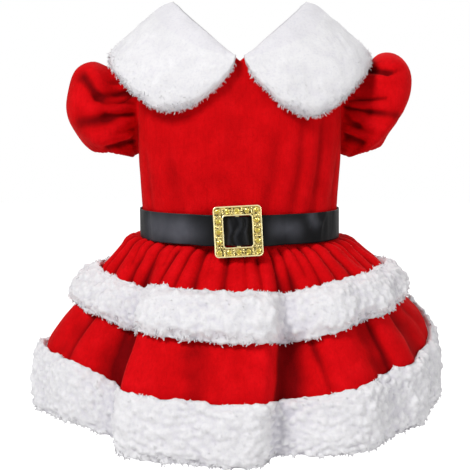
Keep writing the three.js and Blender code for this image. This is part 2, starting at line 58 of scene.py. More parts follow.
# %% Put the camera where the photographer stood
CAMERA_PLACE, CAMERA_DIP = (-3.1, -658, -78), 6.5
SENSOR, FOCAL_PIXELS, PICTURE_PIXELS = 36, 960, 470

bpy.ops.object.select_all(action="DESELECT")
bpy.ops.object.camera_add(
    location=[part * MM for part in CAMERA_PLACE], rotation=(math.radians(90 - CAMERA_DIP), 0, 0)
)
camera = bpy.context.object
camera.name = "camera"
camera.data.sensor_width = SENSOR
camera.data.lens = FOCAL_PIXELS / PICTURE_PIXELS * SENSOR
bpy.context.scene.camera = camera
print("lens", round(camera.data.lens, 1), "mm")

# %% [markdown]
# ## The studio
# A catalogue photograph like this one is taken in a white room. The backdrop is bright, but less light
# reaches the dress from it than from the soft main light at the upper left, so that folds still read.
# The floor is a plain white plane that glows a little, as a light table does. It lies well below the
# hem, because the dress hangs from its wearer's shoulders.


# %% Add the floor and the soft lights
DRESS_MIDDLE, FLOOR_Z = (0, 0, -0.14), -0.62
WHITE = (1, 1, 1, 1)
FLOOR_SEEN, FLOOR_LIGHT = 0.9, 0.1
ROOM_SEEN, ROOM_LIGHT, ROOM_MIRRORED = 1.0, 0.26, 0.6


def set_values(node, **values):
    """Sets named inputs of a node. A name has an underscore for each space."""
    for name, value in values.items():
        node.inputs[name.replace("_", " ")].default_value = value


def node_of(tree, kind, **values):
    """Adds a node to a tree, and sets its named inputs."""
    made = tree.nodes.new(kind)
    set_values(made, **values)
    return made


def new_material(name, **values):
    """A material whose Principled surface has the given values, with its tree and shader."""
    material = bpy.data.materials.new(name)
    material.use_nodes = True
    shader = material.node_tree.nodes["Principled BSDF"]
    set_values(shader, **values)
    return material, material.node_tree, shader


def seen_or_lit(tree, seen, lit):
    """The rays of a tree, and a strength that is one number where the camera looks straight at a
    surface, and another for the light that it gives."""
    rays = tree.nodes.new("ShaderNodeLightPath")
    strength = node_of(tree, "ShaderNodeMapRange", To_Min=lit, To_Max=seen)
    tree.links.new(rays.outputs["Is Camera Ray"], strength.inputs["Value"])
    return rays, strength.outputs["Result"]


def soft_light(name, place, size, power):
    """An area light that looks at the middle of the dress."""
    bpy.ops.object.light_add(type="AREA", location=place)
    lamp = bpy.context.object
    lamp.name = name
    aim = Vector(DRESS_MIDDLE) - Vector(place)
    lamp.rotation_euler = aim.to_track_quat("-Z", "Y").to_euler()
    lamp.data.size = size
    lamp.data.energy = power


bpy.ops.mesh.primitive_plane_add(size=12, location=(0, 0, FLOOR_Z))
floor = bpy.context.object
floor.name = "floor"
floor_paint, tree, shader = new_material(
    "floor paint", Base_Color=(0.93, 0.93, 0.93, 1), Roughness=0.9, Emission_Color=WHITE
)
_, glow = seen_or_lit(tree, FLOOR_SEEN, FLOOR_LIGHT)
tree.links.new(glow, shader.inputs["Emission Strength"])
floor.data.materials.append(floor_paint)

soft_light("main light", (-0.85, -1.0, 1.0), 0.5, 22)
soft_light("side light", (1.15, -0.9, 0.4), 0.8, 7)
soft_light("back light", (0.3, 1.2, 0.8), 0.9, 9)

room = bpy.data.worlds.new("white room")
room.use_nodes = True
tree = room.node_tree
rays, glow = seen_or_lit(tree, ROOM_SEEN, ROOM_LIGHT)
mirrored = tree.nodes.new("ShaderNodeMath")
mirrored.operation = "MULTIPLY_ADD"
mirrored.inputs[1].default_value = ROOM_MIRRORED
tree.links.new(rays.outputs["Is Glossy Ray"], mirrored.inputs[0])
tree.links.new(glow, mirrored.inputs[2])
backdrop = tree.nodes["Background"]
set_values(backdrop, Color=WHITE)
tree.links.new(mirrored.outputs[0], backdrop.inputs["Strength"])
bpy.context.scene.world = room
bpy.context.scene.view_settings.view_transform = "Standard"

# %% [markdown]
# ## The pattern of the dress
# A maker drafts from a table of measurements. So does this script: each table below has one row for a
# level or a fold, and a smooth curve runs through its rows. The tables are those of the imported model,
# in millimetres, so each piece lands where its solid is. A turn is an angle round the body: 0 is the
# front middle, 90 the side at +X, and 180 the back middle.


# %% Read smooth curves from tables
def table(names, *rows):
    """A table with named columns, as arrays."""
    return dict(zip(names.split(), np.array(rows, float).T))


def read(rows, key, at, column):
    """A smooth curve through one column of a table, read at values of its key column. Past either
    end it runs on by a fifth of the last step, and then stays level."""
    x, y = rows[key], rows[column]
    if x[0] > x[-1]:
        x, y = x[::-1], y[::-1]
    slope = np.empty(len(x))
    slope[1:-1] = (y[2:] - y[:-2]) / (x[2:] - x[:-2])
    slope[0] = (y[1] - y[0]) / (x[1] - x[0])
    slope[-1] = (y[-1] - y[-2]) / (x[-1] - x[-2])
    at = np.asarray(at, float)
    i = np.clip(np.searchsorted(x, at) - 1, 0, len(x) - 2)
    step = x[i + 1] - x[i]
    t = np.clip((at - x[i]) / step, -0.2, 1.2)
    rise, flat = t**3 - 2 * t**2 + t, 3 * t**2 - 2 * t**3
    return (
        y[i] * (1 - flat)
        + slope[i] * step * rise
        + y[i + 1] * flat
        + slope[i + 1] * step * (t**3 - t**2)
    )


def smoothstep(value, low, high):
    """Eases from 0 at low to 1 at high."""
    t = np.clip((np.asarray(value, float) - low) / (high - low), 0, 1)
    return t * t * (3 - 2 * t)


def hump(away, wide):
    """A smooth hump: 1 in its middle, and next to nothing at twice its width."""
    return np.exp(-((away / wide) ** 2))


def points(x, y, z):
    """One array of points from three arrays of coordinates."""
    return np.stack(np.broadcast_arrays(x, y, z), axis=-1).astype(float)


def unit(vectors):
    """The same directions, each with a length of 1."""
    return vectors / np.maximum(np.linalg.norm(vectors, axis=-1, keepdims=True), 1e-9)


def normal_of(surface, u, v, step_u, step_v):
    """The direction square to a surface, a function of two numbers, at its points."""
    across = surface(u + step_u, v) - surface(u - step_u, v)
    along = surface(u, v + step_v) - surface(u, v - step_v)
    return unit(np.cross(across, along))


def away_from(turn, middle):
    """How many degrees a turn is past another one, from -180 to 180."""
    return (turn - middle + 180) % 360 - 180


def dents(rows, x, y, fade):
    """The summed height of a table's dents, each along a line from one point to another, at places
    x and y of a surface. fade is the share of its height that a dent loses by its end."""
    height = 0
    for start_x, start_y, end_x, end_y, wide, high in zip(*rows.values()):
        run_x, run_y = end_x - start_x, end_y - start_y
        share = ((x - start_x) * run_x + (y - start_y) * run_y) / (run_x**2 + run_y**2)
        share = np.clip(share, 0, 1)
        away = np.hypot(x - start_x - share * run_x, y - start_y - share * run_y)
        height = height + high * (1 - fade * share) * hump(away, wide)
    return height


# %% The tables of the bodice and the collar
BODICE_LEVELS = table(
    "z half_width half_depth squareness",
    (-143.4, 65.0, 54.2, 2.15),
    (-124, 66.0, 55.5, 2.3),
    (-102, 67.3, 56.5, 2.5),
    (-74, 68.0, 56.0, 2.5),
    (-50, 68.0, 52.5, 2.5),
    (-34, 67.0, 47.5, 2.5),
    (-24, 63.5, 42.5, 2.5),
    (-4, 44.5, 30.0, 2.5),
)
CAPE_LEVELS = table(
    "z half_width",
    (-78, 98.0),
    (-62, 96.0),
    (-50, 92.5),
    (-38, 85.0),
    (-24, 69.5),
    (-4, 47.0),
    (1, 41.8),
    (6, 36.5),
)
COLLAR_STATIONS = table(
    "at neck_turn neck_z edge_turn edge_z",
    (0, 0.7, -36.2, 1.1, -41.0),
    (1, 2.0, -34.0, 3.2, -50.0),
    (2, 6.1, -28.6, 7.0, -59.0),
    (3, 11.5, -22.9, 12.5, -67.5),
    (4, 19.0, -17.0, 19.0, -72.3),
    (5, 30.0, -10.9, 26.5, -71.0),
    (6, 42.0, -6.2, 35.5, -63.8),
    (7, 52.0, -3.2, 47.0, -53.0),
    (8, 64.0, -1.0, 60.0, -44.0),
    (9, 77.0, 0.8, 75.0, -38.5),
    (10, 90.0, 1.4, 90.0, -36.5),
)
WAIST_Z, NECK_POINT_Z, NECK_HALF_WIDTH = -143.4, -4, 41
ARMHOLE_Z, ARMHOLE_HALF_HEIGHT, ARMHOLE_HALF_DEPTH = -64, 32.8, 20.7
VELOUR, SEAM = 1.5, 0.3


def body_point(turn, z, half_width):
    """A point on a rounded box round the body, at a turn and a level."""
    a = np.radians(np.asarray(turn, float))
    power = 2 / read(BODICE_LEVELS, "z", z, "squareness")
    x = half_width * np.sign(np.sin(a)) * np.abs(np.sin(a)) ** power
    depth = read(BODICE_LEVELS, "z", z, "half_depth")
    return points(x, -depth * np.sign(np.cos(a)) * np.abs(np.cos(a)) ** power, z)


def bodice(turn, z):
    """The middle surface of the bodice."""
    return body_point(turn, z, read(BODICE_LEVELS, "z", z, "half_width"))


def cape(turn, z):
    """The wider surface on which the collar lies, over the shoulders."""
    return body_point(turn, z, read(CAPE_LEVELS, "z", z, "half_width"))


def turn_at(share, z):
    """The turn at which the bodice is a share of its half width aside."""
    power = read(BODICE_LEVELS, "z", z, "squareness") / 2
    return np.degrees(np.arcsin(np.clip(share, 0, 1) ** power))


# %% The tables of the sleeves and the skirt
SLEEVE_SECTIONS = table(
    "along outer_x outer_z inner_x inner_z half_depth",
    (0.0, 67.5, -31.7, 67.8, -96.3, 20.3),
    (0.05, 71.0, -32.1, 70.4, -96.6, 20.4),
    (0.16, 84.0, -40.0, 71.8, -97.6, 27.5),
    (0.3, 99.0, -36.0, 72.2, -98.4, 32.0),
    (0.42, 110.5, -42.0, 72.6, -98.9, 33.5),
    (0.58, 115.8, -60.0, 73.0, -99.0, 34.0),
    (0.72, 114.6, -74.0, 73.4, -98.8, 32.0),
    (0.86, 106.5, -88.0, 74.0, -98.0, 26.5),
    (0.95, 98.5, -95.0, 75.0, -96.2, 20.0),
    (1.0, 96.0, -92.0, 76.4, -91.8, 16.5),
)
SKIRT_LEVELS = table(
    "down z rise half_width half_depth shift gather fold sag",
    (0.0, -143.7, 0, 63.8, 53.2, 0, 0.1, 0, 0),
    (0.09, -153.8, 0, 64.2, 53.4, 0, 0.3, 0, 0),
    (0.18, -161, 3, 78, 60, 0, 1.8, 0.1, 0.1),
    (0.34, -177, 11, 96.5, 77, 0.3, 2.2, 0.45, 0.7),
    (0.5, -193.5, 12.5, 104, 88, 0.5, 0.7, 0.7, 1),
    (0.62, -207.5, 12.5, 110, 95, 1, 0.7, 0.85, 1),
    (0.82, -241.5, 16, 130.5, 111, 2, 0.3, 1, 0.85),
    (1.0, -274.5, 10, 135.5, 117, 2.5, 0, 1.05, 0),
)
SKIRT_FOLDS = table(
    "turn swing before after depth sag",
    (-64, -2, 7, 7, 4, 3),
    (-40, 2, 17, 4.5, 17, 7),
    (-13, 2, 7, 7, 3, 0),
    (17, -5, 4.5, 13, 18, 5),
    (45, 3, 7, 9, 7, 0),
    (68, 3, 7, 7, 5, 1),
    (103, -2, 9, 11, 11, 1),
    (134, 3, 12, 7, 15, 3),
    (166, -3, 8, 12, 14, 3),
    (199, 2, 12, 8, 15, 3),
    (231, -2, 9, 11, 13, 3),
    (262, 2, 11, 8, 12, 2),
)
HEM_KICKS = table("turn spread up out", (106, 17, 24, 7), (-55, 14, 5, 0))
SIDE_PUFF = table(
    "down out up left",
    (0.0, 0, 0, 0),
    (0.09, 0, 0, 0),
    (0.12, 4.2, 3.6, 0),
    (0.16, 2.4, 2.6, 0),
    (0.22, -0.6, -0.4, -0.8),
    (0.3, -2.0, -3.6, -2.4),
    (0.37, -1.4, -3.6, -4.2),
    (0.5, -0.6, -1.6, -2.4),
    (0.62, 0, 0, 0),
    (1.0, 0, 0, 0),
)


def skirt_bell(turn, down):
    """The skirt's smooth bell, without folds or gathers."""
    a = np.radians(np.asarray(turn, float))
    at = {name: read(SKIRT_LEVELS, "down", down, name) for name in SKIRT_LEVELS}
    share = smoothstep(down, 0.52, 0.84)
    up = out = 0
    for middle, wide, kick_up, kick_out in zip(*HEM_KICKS.values()):
        kick = share * hump(away_from(turn, middle), wide)
        up, out = up + kick * kick_up, out + kick * kick_out
    return points(
        (at["half_width"] + out) * np.sin(a) - at["shift"],
        -(at["half_depth"] + out) * np.cos(a),
        at["z"] + at["rise"] * np.sin(a) ** 2 + up,
    )


def bell_normal(turn, down):
    """The direction that points straight out of the smooth bell."""
    return -normal_of(skirt_bell, turn, down, 0.5, 0.005)


def fold_size(turn, down, column):
    """The size of the large folds at points of the skirt, from one column of their table."""
    swung = smoothstep(down, 0.5, 1)
    names = ("turn", "swing", "before", "after", column)
    size = 0
    for middle, swing, before, after, most in zip(*(SKIRT_FOLDS[name] for name in names)):
        away = away_from(turn, middle + swing * swung)
        size = size + most * hump(away, np.where(away < 0, before, after))
    return size


def fold_depth(turn, down):
    """How far the large folds press the cloth in."""
    return fold_size(turn, down, "depth") * read(SKIRT_LEVELS, "down", down, "fold")


def skirt(turn, down):
    """The cloth of the skirt with its large folds, and the puff of its gathers under the belt, which
    is fullest at the sides and has one more column for the left side."""
    out = unit(bell_normal(turn, down) * (1, 1, 0))
    side = np.sin(np.radians(turn)) ** 2
    left = side * (turn % 360 > 180)
    less = 0.6 * side + 0.4 * left
    move = read(SIDE_PUFF, "down", down, "out") * (0.35 + 0.65 * side) - fold_depth(turn, down)
    move = move + read(SIDE_PUFF, "down", down, "left") * left**2
    point = skirt_bell(turn, down) + out * move[..., None]
    point[..., 2] += read(SIDE_PUFF, "down", down, "up") * less
    point[..., 2] -= fold_size(turn, down, "sag") * read(SKIRT_LEVELS, "down", down, "sag")
    return point


print("hem of the bell at the front:", skirt_bell(np.array(0.0), np.array(1.0)).round(1))

# %% [markdown]
# ## From a grid of points to a piece of cloth
# A sheet of cloth is a grid: one direction runs round the body and the other down it. Making its
# points in code keeps every fold where the table puts it. The grid also gives each sheet a UV map in
# metres of cloth, so that a finish can follow the piece. Blender's Solidify modifier then gives the
# sheet its thickness, on both sides of the grid, and closes its edges.


# %% Make and finish sheets
NEAR, FAR = 24, 160


def mesh_piece(name, corners, faces, uvs=None, hollow=None):
    """An object from points in millimetres and an array of faces, smooth shaded. hollow is kept as
    an attribute, from which the material paints shade and highlight: 1 in a deep valley, 0 on flat
    cloth and -1 on a sharp ridge. On the belt it holds painted highlights instead."""
    mesh = bpy.data.meshes.new(name)
    faces = np.asarray(faces, np.int32)
    mesh.vertices.add(len(corners))
    mesh.vertices.foreach_set("co", (np.asarray(corners) * MM).astype(np.float32).ravel())
    mesh.loops.add(faces.size)
    mesh.loops.foreach_set("vertex_index", faces.ravel())
    mesh.polygons.add(len(faces))
    mesh.polygons.foreach_set("loop_start", np.arange(0, faces.size, faces.shape[1], dtype=np.int32))
    if uvs is not None:
        layer = mesh.uv_layers.new(name="cloth")
        layer.uv.foreach_set("vector", np.asarray(uvs, np.float32)[faces.ravel()].ravel())
    if hollow is not None:
        layer = mesh.attributes.new("hollow", "FLOAT", "POINT")
        layer.data.foreach_set("value", np.clip(hollow, -1, 1).astype(np.float32).ravel())
    mesh.update(calc_edges=True)
    mesh.validate()
    mesh.polygons.foreach_set("use_smooth", np.ones(len(mesh.polygons), bool))
    piece = bpy.data.objects.new(name, mesh)
    bpy.context.collection.objects.link(piece)
    return piece


def grid_faces(rows, columns, ring_rows=False, ring_columns=False):
    """The four corners of each face of a grid, whose ends may be joined into a ring."""
    i = np.arange(rows if ring_rows else rows - 1)
    j = np.arange(columns if ring_columns else columns - 1)
    i, j = np.meshgrid(i, j, indexing="ij")
    n, m = (i + 1) % rows, (j + 1) % columns
    quads = [i * columns + j, i * columns + m, n * columns + m, n * columns + j]
    return np.stack(quads, axis=-1).reshape(-1, 4)


def cloth_uvs(grid):
    """Metres of cloth across and along, at each point of a grid."""
    across = np.linalg.norm(np.diff(grid, axis=1, prepend=grid[:, :1]), axis=2).cumsum(axis=1)
    along = np.linalg.norm(np.diff(grid, axis=0, prepend=grid[:1]), axis=2).cumsum(axis=0)
    return np.stack([across, along], axis=-1).reshape(-1, 2) * MM


def select_only(piece):
    """Makes a piece the active object, and the only selected one."""
    bpy.ops.object.select_all(action="DESELECT")
    piece.select_set(True)
    bpy.context.view_layer.objects.active = piece


def apply_modifier(piece, kind, **settings):
    """Adds a modifier with its settings, and applies it."""
    select_only(piece)
    modifier = piece.modifiers.new(kind.lower(), kind)
    for name, value in settings.items():
        setattr(modifier, name, value)
    bpy.ops.object.modifier_apply(modifier=modifier.name)


def spread(values, reach, ring_rows=False, ring_columns=False):
    """The values of a grid, each mixed with its four neighbours as many times as reach says."""
    for _ in range(reach):
        for axis, is_ring in ((0, ring_rows), (1, ring_columns)):
            before, after = np.roll(values, 1, axis), np.roll(values, -1, axis)
            if not is_ring:
                first, last = [slice(None)] * 2, [slice(None)] * 2
                first[axis], last[axis] = slice(0, 1), slice(-1, None)
                before[tuple(first)], after[tuple(last)] = values[tuple(first)], values[tuple(last)]
            values = 0.5 * values + 0.25 * (before + after)
    return values


def hollow_of(height, small, large, ring_columns=False):
    """How deep each point lies among its neighbours, near and far, from the height of a surface.
    small and large are the depths in millimetres that count as 1. Materials paint shade and highlight
    from it."""
    near = spread(height, NEAR, False, ring_columns) - height
    far = spread(height, FAR, False, ring_columns) - height
    return near / small + far / large


def tube_from(name, grid, thickness, outwards, hollow):
    """A sheet through a grid whose columns form a ring, thickened on both sides. outwards is 1, or
    -1 where the grid's own order makes its faces look inwards."""
    faces = grid_faces(*grid.shape[:2], ring_columns=True)
    if outwards < 0:
        faces = faces[:, ::-1]
    piece = mesh_piece(name, grid.reshape(-1, 3), faces, cloth_uvs(grid), hollow)
    apply_modifier(piece, "SOLIDIFY", thickness=thickness * MM, offset=0)
    return piece


def finish_piece(piece, material, slot, *nodes):
    """Gives a piece its finish, and puts it in the place of its solids."""
    piece.data.materials.clear()
    piece.data.materials.append(material)
    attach(piece, "root")
    if nodes:
        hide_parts(*nodes)
    piece.data.calc_loop_triangles()
    print(piece.name, len(piece.data.loop_triangles), "triangles")
    return piece


# %% [markdown]
# ## Red velour
# Velour is a knit with a short cut pile. The pile leans, so one colour of cloth looks lighter in one
# patch and darker in the next, and it always glows along the edges of its folds, where the eye looks
# along the fibres. A node group makes the patches, the grain and the fibres from noise, and faint
# upright wales from noise that is stretched along Z. The grain is painted darker where its own bump is
# low, as shade. The sheet's own hollow attribute then paints shade in the valleys and a highlight on
# the ridges, and the shader's sheen makes the glow. All noise is read in Object coords, so it has the
# same size on each piece.


# %% Build the velour
def noise_of(tree, coordinate, scale, detail=2.0, roughness=0.5):
    """A noise texture of one scale, per metre, on a coordinate output."""
    made = node_of(tree, "ShaderNodeTexNoise", Scale=scale, Detail=detail, Roughness=roughness)
    tree.links.new(coordinate, made.inputs["Vector"])
    return made.outputs["Fac"]


def ramp_of(tree, fac, *stops):
    """A colour ramp through stops of (position, colour)."""
    made = tree.nodes.new("ShaderNodeValToRGB")
    elements = made.color_ramp.elements
    while len(elements) < len(stops):
        elements.new(0.5)
    for element, (position, colour) in zip(elements, stops):
        element.position = position
        element.color = (*colour, 1)
    tree.links.new(fac, made.inputs["Fac"])
    return made.outputs["Color"]


def mix_of(tree, a, b, share, blend="MIX"):
    """Mixes two values or colours, given as numbers, colours or outputs."""
    made = tree.nodes.new("ShaderNodeMix")
    made.data_type, made.blend_type = "RGBA", blend
    for name, value in (("Factor", share), ("A", a), ("B", b)):
        socket = next(s for s in made.inputs if s.name == name and s.enabled)
        if isinstance(value, bpy.types.NodeSocket):
            tree.links.new(value, socket)
        else:
            socket.default_value = value
    return next(s for s in made.outputs if s.enabled)


def multiply(tree, a, b):
    """The product of two colours."""
    return mix_of(tree, a, b, 1, "MULTIPLY")


def open_group(name):
    """A node group with a Colour and a Height to come, and its object coordinates."""
    group = bpy.data.node_groups.new(name, "ShaderNodeTree")
    for label, kind in (("Colour", "NodeSocketColor"), ("Height", "NodeSocketFloat")):
        group.interface.new_socket(name=label, in_out="OUTPUT", socket_type=kind)
    return group, group.nodes.new("ShaderNodeTexCoord").outputs["Object"]


def close_group(group, colour, height):
    """Links a group's Colour and Height to its output."""
    result = group.nodes.new("NodeGroupOutput")
    group.links.new(colour, result.inputs["Colour"])
    group.links.new(height, result.inputs["Height"])


def shade_hollows(tree, colour, *stops):
    """Paints shade and highlight: multiplies a colour by a ramp over hollow, from -1 at 0 to 1 at 1."""
    hollow = tree.nodes.new("ShaderNodeAttribute")
    hollow.attribute_name = "hollow"
    place = node_of(tree, "ShaderNodeMapRange", From_Min=-1.0)
    tree.links.new(hollow.outputs["Fac"], place.inputs["Value"])
    return multiply(tree, colour, ramp_of(tree, place.outputs["Result"], *stops))


def use_group(tree, shader, group, bump, hollows=None):
    """Feeds a group's Colour and Height to a shader, the height as a bump of a depth in mm. hollows
    are the stops of the ramp over the hollow attribute, which paints shade and highlight."""
    made = tree.nodes.new("ShaderNodeGroup")
    made.node_tree = group
    colour = made.outputs["Colour"]
    if hollows:
        colour = shade_hollows(tree, colour, *hollows)
    tree.links.new(colour, shader.inputs["Base Color"])
    relief = node_of(tree, "ShaderNodeBump", Strength=1.0, Distance=bump * MM)
    tree.links.new(made.outputs["Height"], relief.inputs["Height"])
    tree.links.new(relief.outputs["Normal"], shader.inputs["Normal"])


PILE_LEAN = (
    (0.3, (0.55, 0.0012, 0.003)),
    (0.5, (0.60, 0.0015, 0.0035)),
    (0.72, (0.66, 0.0025, 0.005)),
)
# Painted shade in the grain: its colour follows the noise of its bump, darker and deeper red where low.
GRAIN_PAINTED_SHADE = (0.3, (0.88, 0.8, 0.8)), (0.52, (0.98, 0.95, 0.95)), (0.75, (1, 1, 1))
WALES = (0.35, (0.96, 0.94, 0.94)), (0.6, (1.02, 1.06, 1.06))
# Painted shade in the valleys and a painted highlight on the ridges, by the hollow attribute.
VELOUR_PAINTED_SHADING = (
    (0.2, (1.12, 1.5, 1.5)),
    (0.5, (1, 1, 1)),
    (0.72, (0.62, 0.5, 0.6)),
    (0.95, (0.3, 0.2, 0.4)),
)

velour_pile, place = open_group("velour pile")
patches = noise_of(velour_pile, place, 85, 3)
grain = noise_of(velour_pile, place, 420, 4, 0.65)
fibres = noise_of(velour_pile, place, 1900, 2, 0.6)
lean = ramp_of(velour_pile, patches, *PILE_LEAN)
grain_shade = ramp_of(velour_pile, grain, *GRAIN_PAINTED_SHADE)
stretched = node_of(velour_pile, "ShaderNodeMapping", Scale=(1.0, 1.0, 0.08))
velour_pile.links.new(place, stretched.inputs["Vector"])
wales = noise_of(velour_pile, stretched.outputs["Vector"], 700, 2)
striped = ramp_of(velour_pile, wales, *WALES)
pile_tone_and_shade = multiply(velour_pile, multiply(velour_pile, lean, grain_shade), striped)
close_group(velour_pile, pile_tone_and_shade, mix_of(velour_pile, grain, fibres, 0.55))

velour, tree, shader = new_material(
    "red velour",
    Roughness=0.85,
    Specular_IOR_Level=0.05,
    Sheen_Weight=0.3,
    Sheen_Roughness=0.25,
    Sheen_Tint=(1, 0.12, 0.1, 1),
)
use_group(tree, shader, velour_pile, 0.35, VELOUR_PAINTED_SHADING)

# %% [markdown]
# ## Creases listed one by one
# Real folds are uneven: each has its own length, depth and lean. So each piece has a table of its
# creases. A row says at which turn a crease starts and ends, how wide and deep it is, and between
# which levels it runs. A plus depth is a ridge and a minus depth is a trough. The rows of the front
# follow the photograph, and those of the back are guesses of the same kind. The gathers of a sewn
# edge are a repeated wave, but its spacing and height wander as well.


# %% Put creases and gathers on a surface
def creases(rows, turn, level, sharp=2.0, start_at=0.3):
    """The summed height of a table's creases at each turn and level of a grid. sharp is 2 for soft
    creases and near 1 for narrow ones, and start_at is where in its run a crease has its full
    depth. It widens along its run, and fades out over the last quarter."""
    height = 0
    for start, end, wide, high, first, last in zip(*rows.values()):
        run = (level - first) / (last - first)
        middle = start + (end - start) * np.clip(run, 0, 1)
        fade = smoothstep(run, -0.05, start_at) * (1 - smoothstep(run, 0.75, 1.1))
        away = away_from(turn, middle) / (wide * (0.75 + 0.35 * np.clip(run, 0, 1)))
        height = height + high * fade * np.exp(-(np.abs(away) ** sharp))
    return height


def crumple(grid, size, seed):
    """Soft uneven height between about -1 and 1, with lumps of one size in millimetres. Each seed
    reads another part of the same noise."""
    shift = Vector((seed * 7.3, seed * 3.1, seed * 5.7))
    flat = [noise.noise(Vector(p) / size + shift) for p in grid.reshape(-1, 3)]
    return np.array(flat).reshape(grid.shape[:2]) * 1.6


def gather_wave(turn, count, sharp, wander, seed):
    """Rounded ridges with narrow valleys, up to 1 on a crest and down to -1 in a valley. Spacing
    and height wander round the body."""
    a = np.radians(turn)
    phase = turn * count / 360 + wander * (np.sin(5 * a + seed) + 0.7 * np.sin(3 * a + 2 * seed))
    wave = 2 * np.abs(np.cos(np.pi * phase)) ** sharp - 1
    height = 0.72 + 0.28 * np.sin(7 * a + 3 * seed) * np.cos(4 * a + seed)
    return wave * height


# %% [markdown]
# ## The bodice
# The bodice is two panels, a front and a back, each cut with a V neck. They meet at the shoulder
# points and in the side seams, with the armholes between. The panel is smooth over the chest, with
# soft folds at one side where the cloth is a little loose, and small pulls where the belt gathers it.

# %% Cut the two bodice panels
SEAM_TUCK, PANEL_COLUMNS = 0.9, 49
BODICE_CREASES = table(
    "start end wide high first last",
    (15, 12, 4.5, -0.8, -72, -138),
    (24, 20, 4.0, 0.7, -70, -146),
    (31, 27, 3.2, -1.0, -64, -148),
    (39, 34, 3.6, 0.9, -68, -148),
    (47, 41, 3.4, -1.2, -58, -148),
    (57, 50, 4.5, 0.9, -70, -150),
    (68, 62, 4.0, -0.9, -90, -150),
    (-24, -20, 7.0, 0.5, -80, -140),
    (-36, -33, 5.0, -0.7, -84, -148),
    (-50, -45, 6.0, 0.6, -92, -150),
    (-62, -58, 5.0, -0.8, -84, -150),
    (-3, -1, 5.0, -0.6, -40, -100),
    (6, 4, 4.0, 0.4, -60, -120),
    (128, 132, 5.0, -0.9, -66, -148),
    (143, 149, 5.0, 0.8, -76, -148),
    (165, 169, 6.0, -0.8, -60, -146),
    (188, 184, 7.0, 0.6, -80, -148),
    (207, 203, 5.0, -1.0, -70, -148),
    (229, 222, 5.0, 0.7, -84, -150),
)


def bodice_cloth(turn, z, tuck):
    """The bodice's middle surface with its folds. Under the belt it stays within the belt's room.
    tuck is how far the cloth turns in at a seam."""
    base = bodice(turn, z)
    out = normal_of(bodice, turn, z, 0.5, 0.5)
    height = creases(BODICE_CREASES, turn, z) + 0.12 * crumple(base, 11, 1)
    height = height + 0.5 * gather_wave(turn, 40, 0.9, 0.35, 1.3) * smoothstep(-z, 108, 140)
    snug = smoothstep(-z, 118, 133)
    height = np.minimum(height * (1 - 0.3 * snug), 1.6 - 1.05 * snug) - tuck
    return base + out * height[..., None], height


def bodice_panel(name, neck_z, middle):
    """One panel: its halves are two grids that share the middle line below the V, whose point is at
    neck_z. The rows are closest where the armhole starts and ends."""
    low, high = ARMHOLE_Z - ARMHOLE_HALF_HEIGHT, ARMHOLE_Z + ARMHOLE_HALF_HEIGHT
    levels = np.concatenate(
        [
            ARMHOLE_Z - ARMHOLE_HALF_HEIGHT * np.cos(np.linspace(0, np.pi, 41)),
            np.linspace(WAIST_Z + SEAM / 2, low, 24)[:-1],
            np.linspace(high, NECK_POINT_Z, 14)[1:],
            [neck_z],
        ]
    )
    levels = np.unique(levels.round(3))[:, None]
    up = (levels - ARMHOLE_Z) / ARMHOLE_HALF_HEIGHT
    ahead = np.where(np.abs(up) < 1, ARMHOLE_HALF_DEPTH * np.sqrt(np.maximum(1 - up**2, 0)), 0)
    depth = read(BODICE_LEVELS, "z", levels, "half_depth")
    side = 90 - turn_at(ahead / depth, levels)
    neck = NECK_HALF_WIDTH * (levels - neck_z) / (NECK_POINT_Z - neck_z)
    width = read(BODICE_LEVELS, "z", levels, "half_width")
    inner = np.where(levels > neck_z, turn_at(neck / width, levels), 0)
    share = np.linspace(0, 1, PANEL_COLUMNS)[None, :]
    tuck = np.where((ahead == 0) & (share == 1), SEAM_TUCK, 0)
    corners, faces, uvs, hollow = [], [], [], []
    for hand in (1, -1):
        turn = hand * (inner + (side - inner) * share)
        z = np.broadcast_to(levels, turn.shape)
        grid, height = bodice_cloth(middle + turn, z, tuck)
        hollow.append(hollow_of(height, 4.0, 9.0).ravel())
        made = grid_faces(*turn.shape)
        faces.append((made if hand == 1 else made[:, ::-1]) + len(corners) * turn.size)
        corners.append(grid.reshape(-1, 3))
        uvs.append(cloth_uvs(grid) * (hand, 1))
    panel = mesh_piece(name, *(np.concatenate(part) for part in (corners, faces, uvs, hollow)))
    select_only(panel)
    bpy.ops.object.mode_set(mode="EDIT")
    bpy.ops.mesh.select_all(action="SELECT")
    bpy.ops.mesh.remove_doubles(threshold=0.01 * MM)
    bpy.ops.object.mode_set(mode="OBJECT")
    apply_modifier(panel, "SOLIDIFY", thickness=VELOUR * MM, offset=0)
    return panel


front_panel = bodice_panel("front_panel", -38, 0)
back_panel = bodice_panel("back_panel", -40, 180)
finish_piece(front_panel, velour, "velour", "bodice_front")
finish_piece(back_panel, velour, "velour", "bodice_back")

# %% [markdown]
# ## The puff sleeves
# Each sleeve is a tube of cloth, wider than the hole that it is sewn into. The spare width is gathered
# into the armhole seam and again into the elastic of the cuff, so it puffs out between them. The
# gathers are short and narrow at both seams. A few of them run on over the puff as long soft folds.

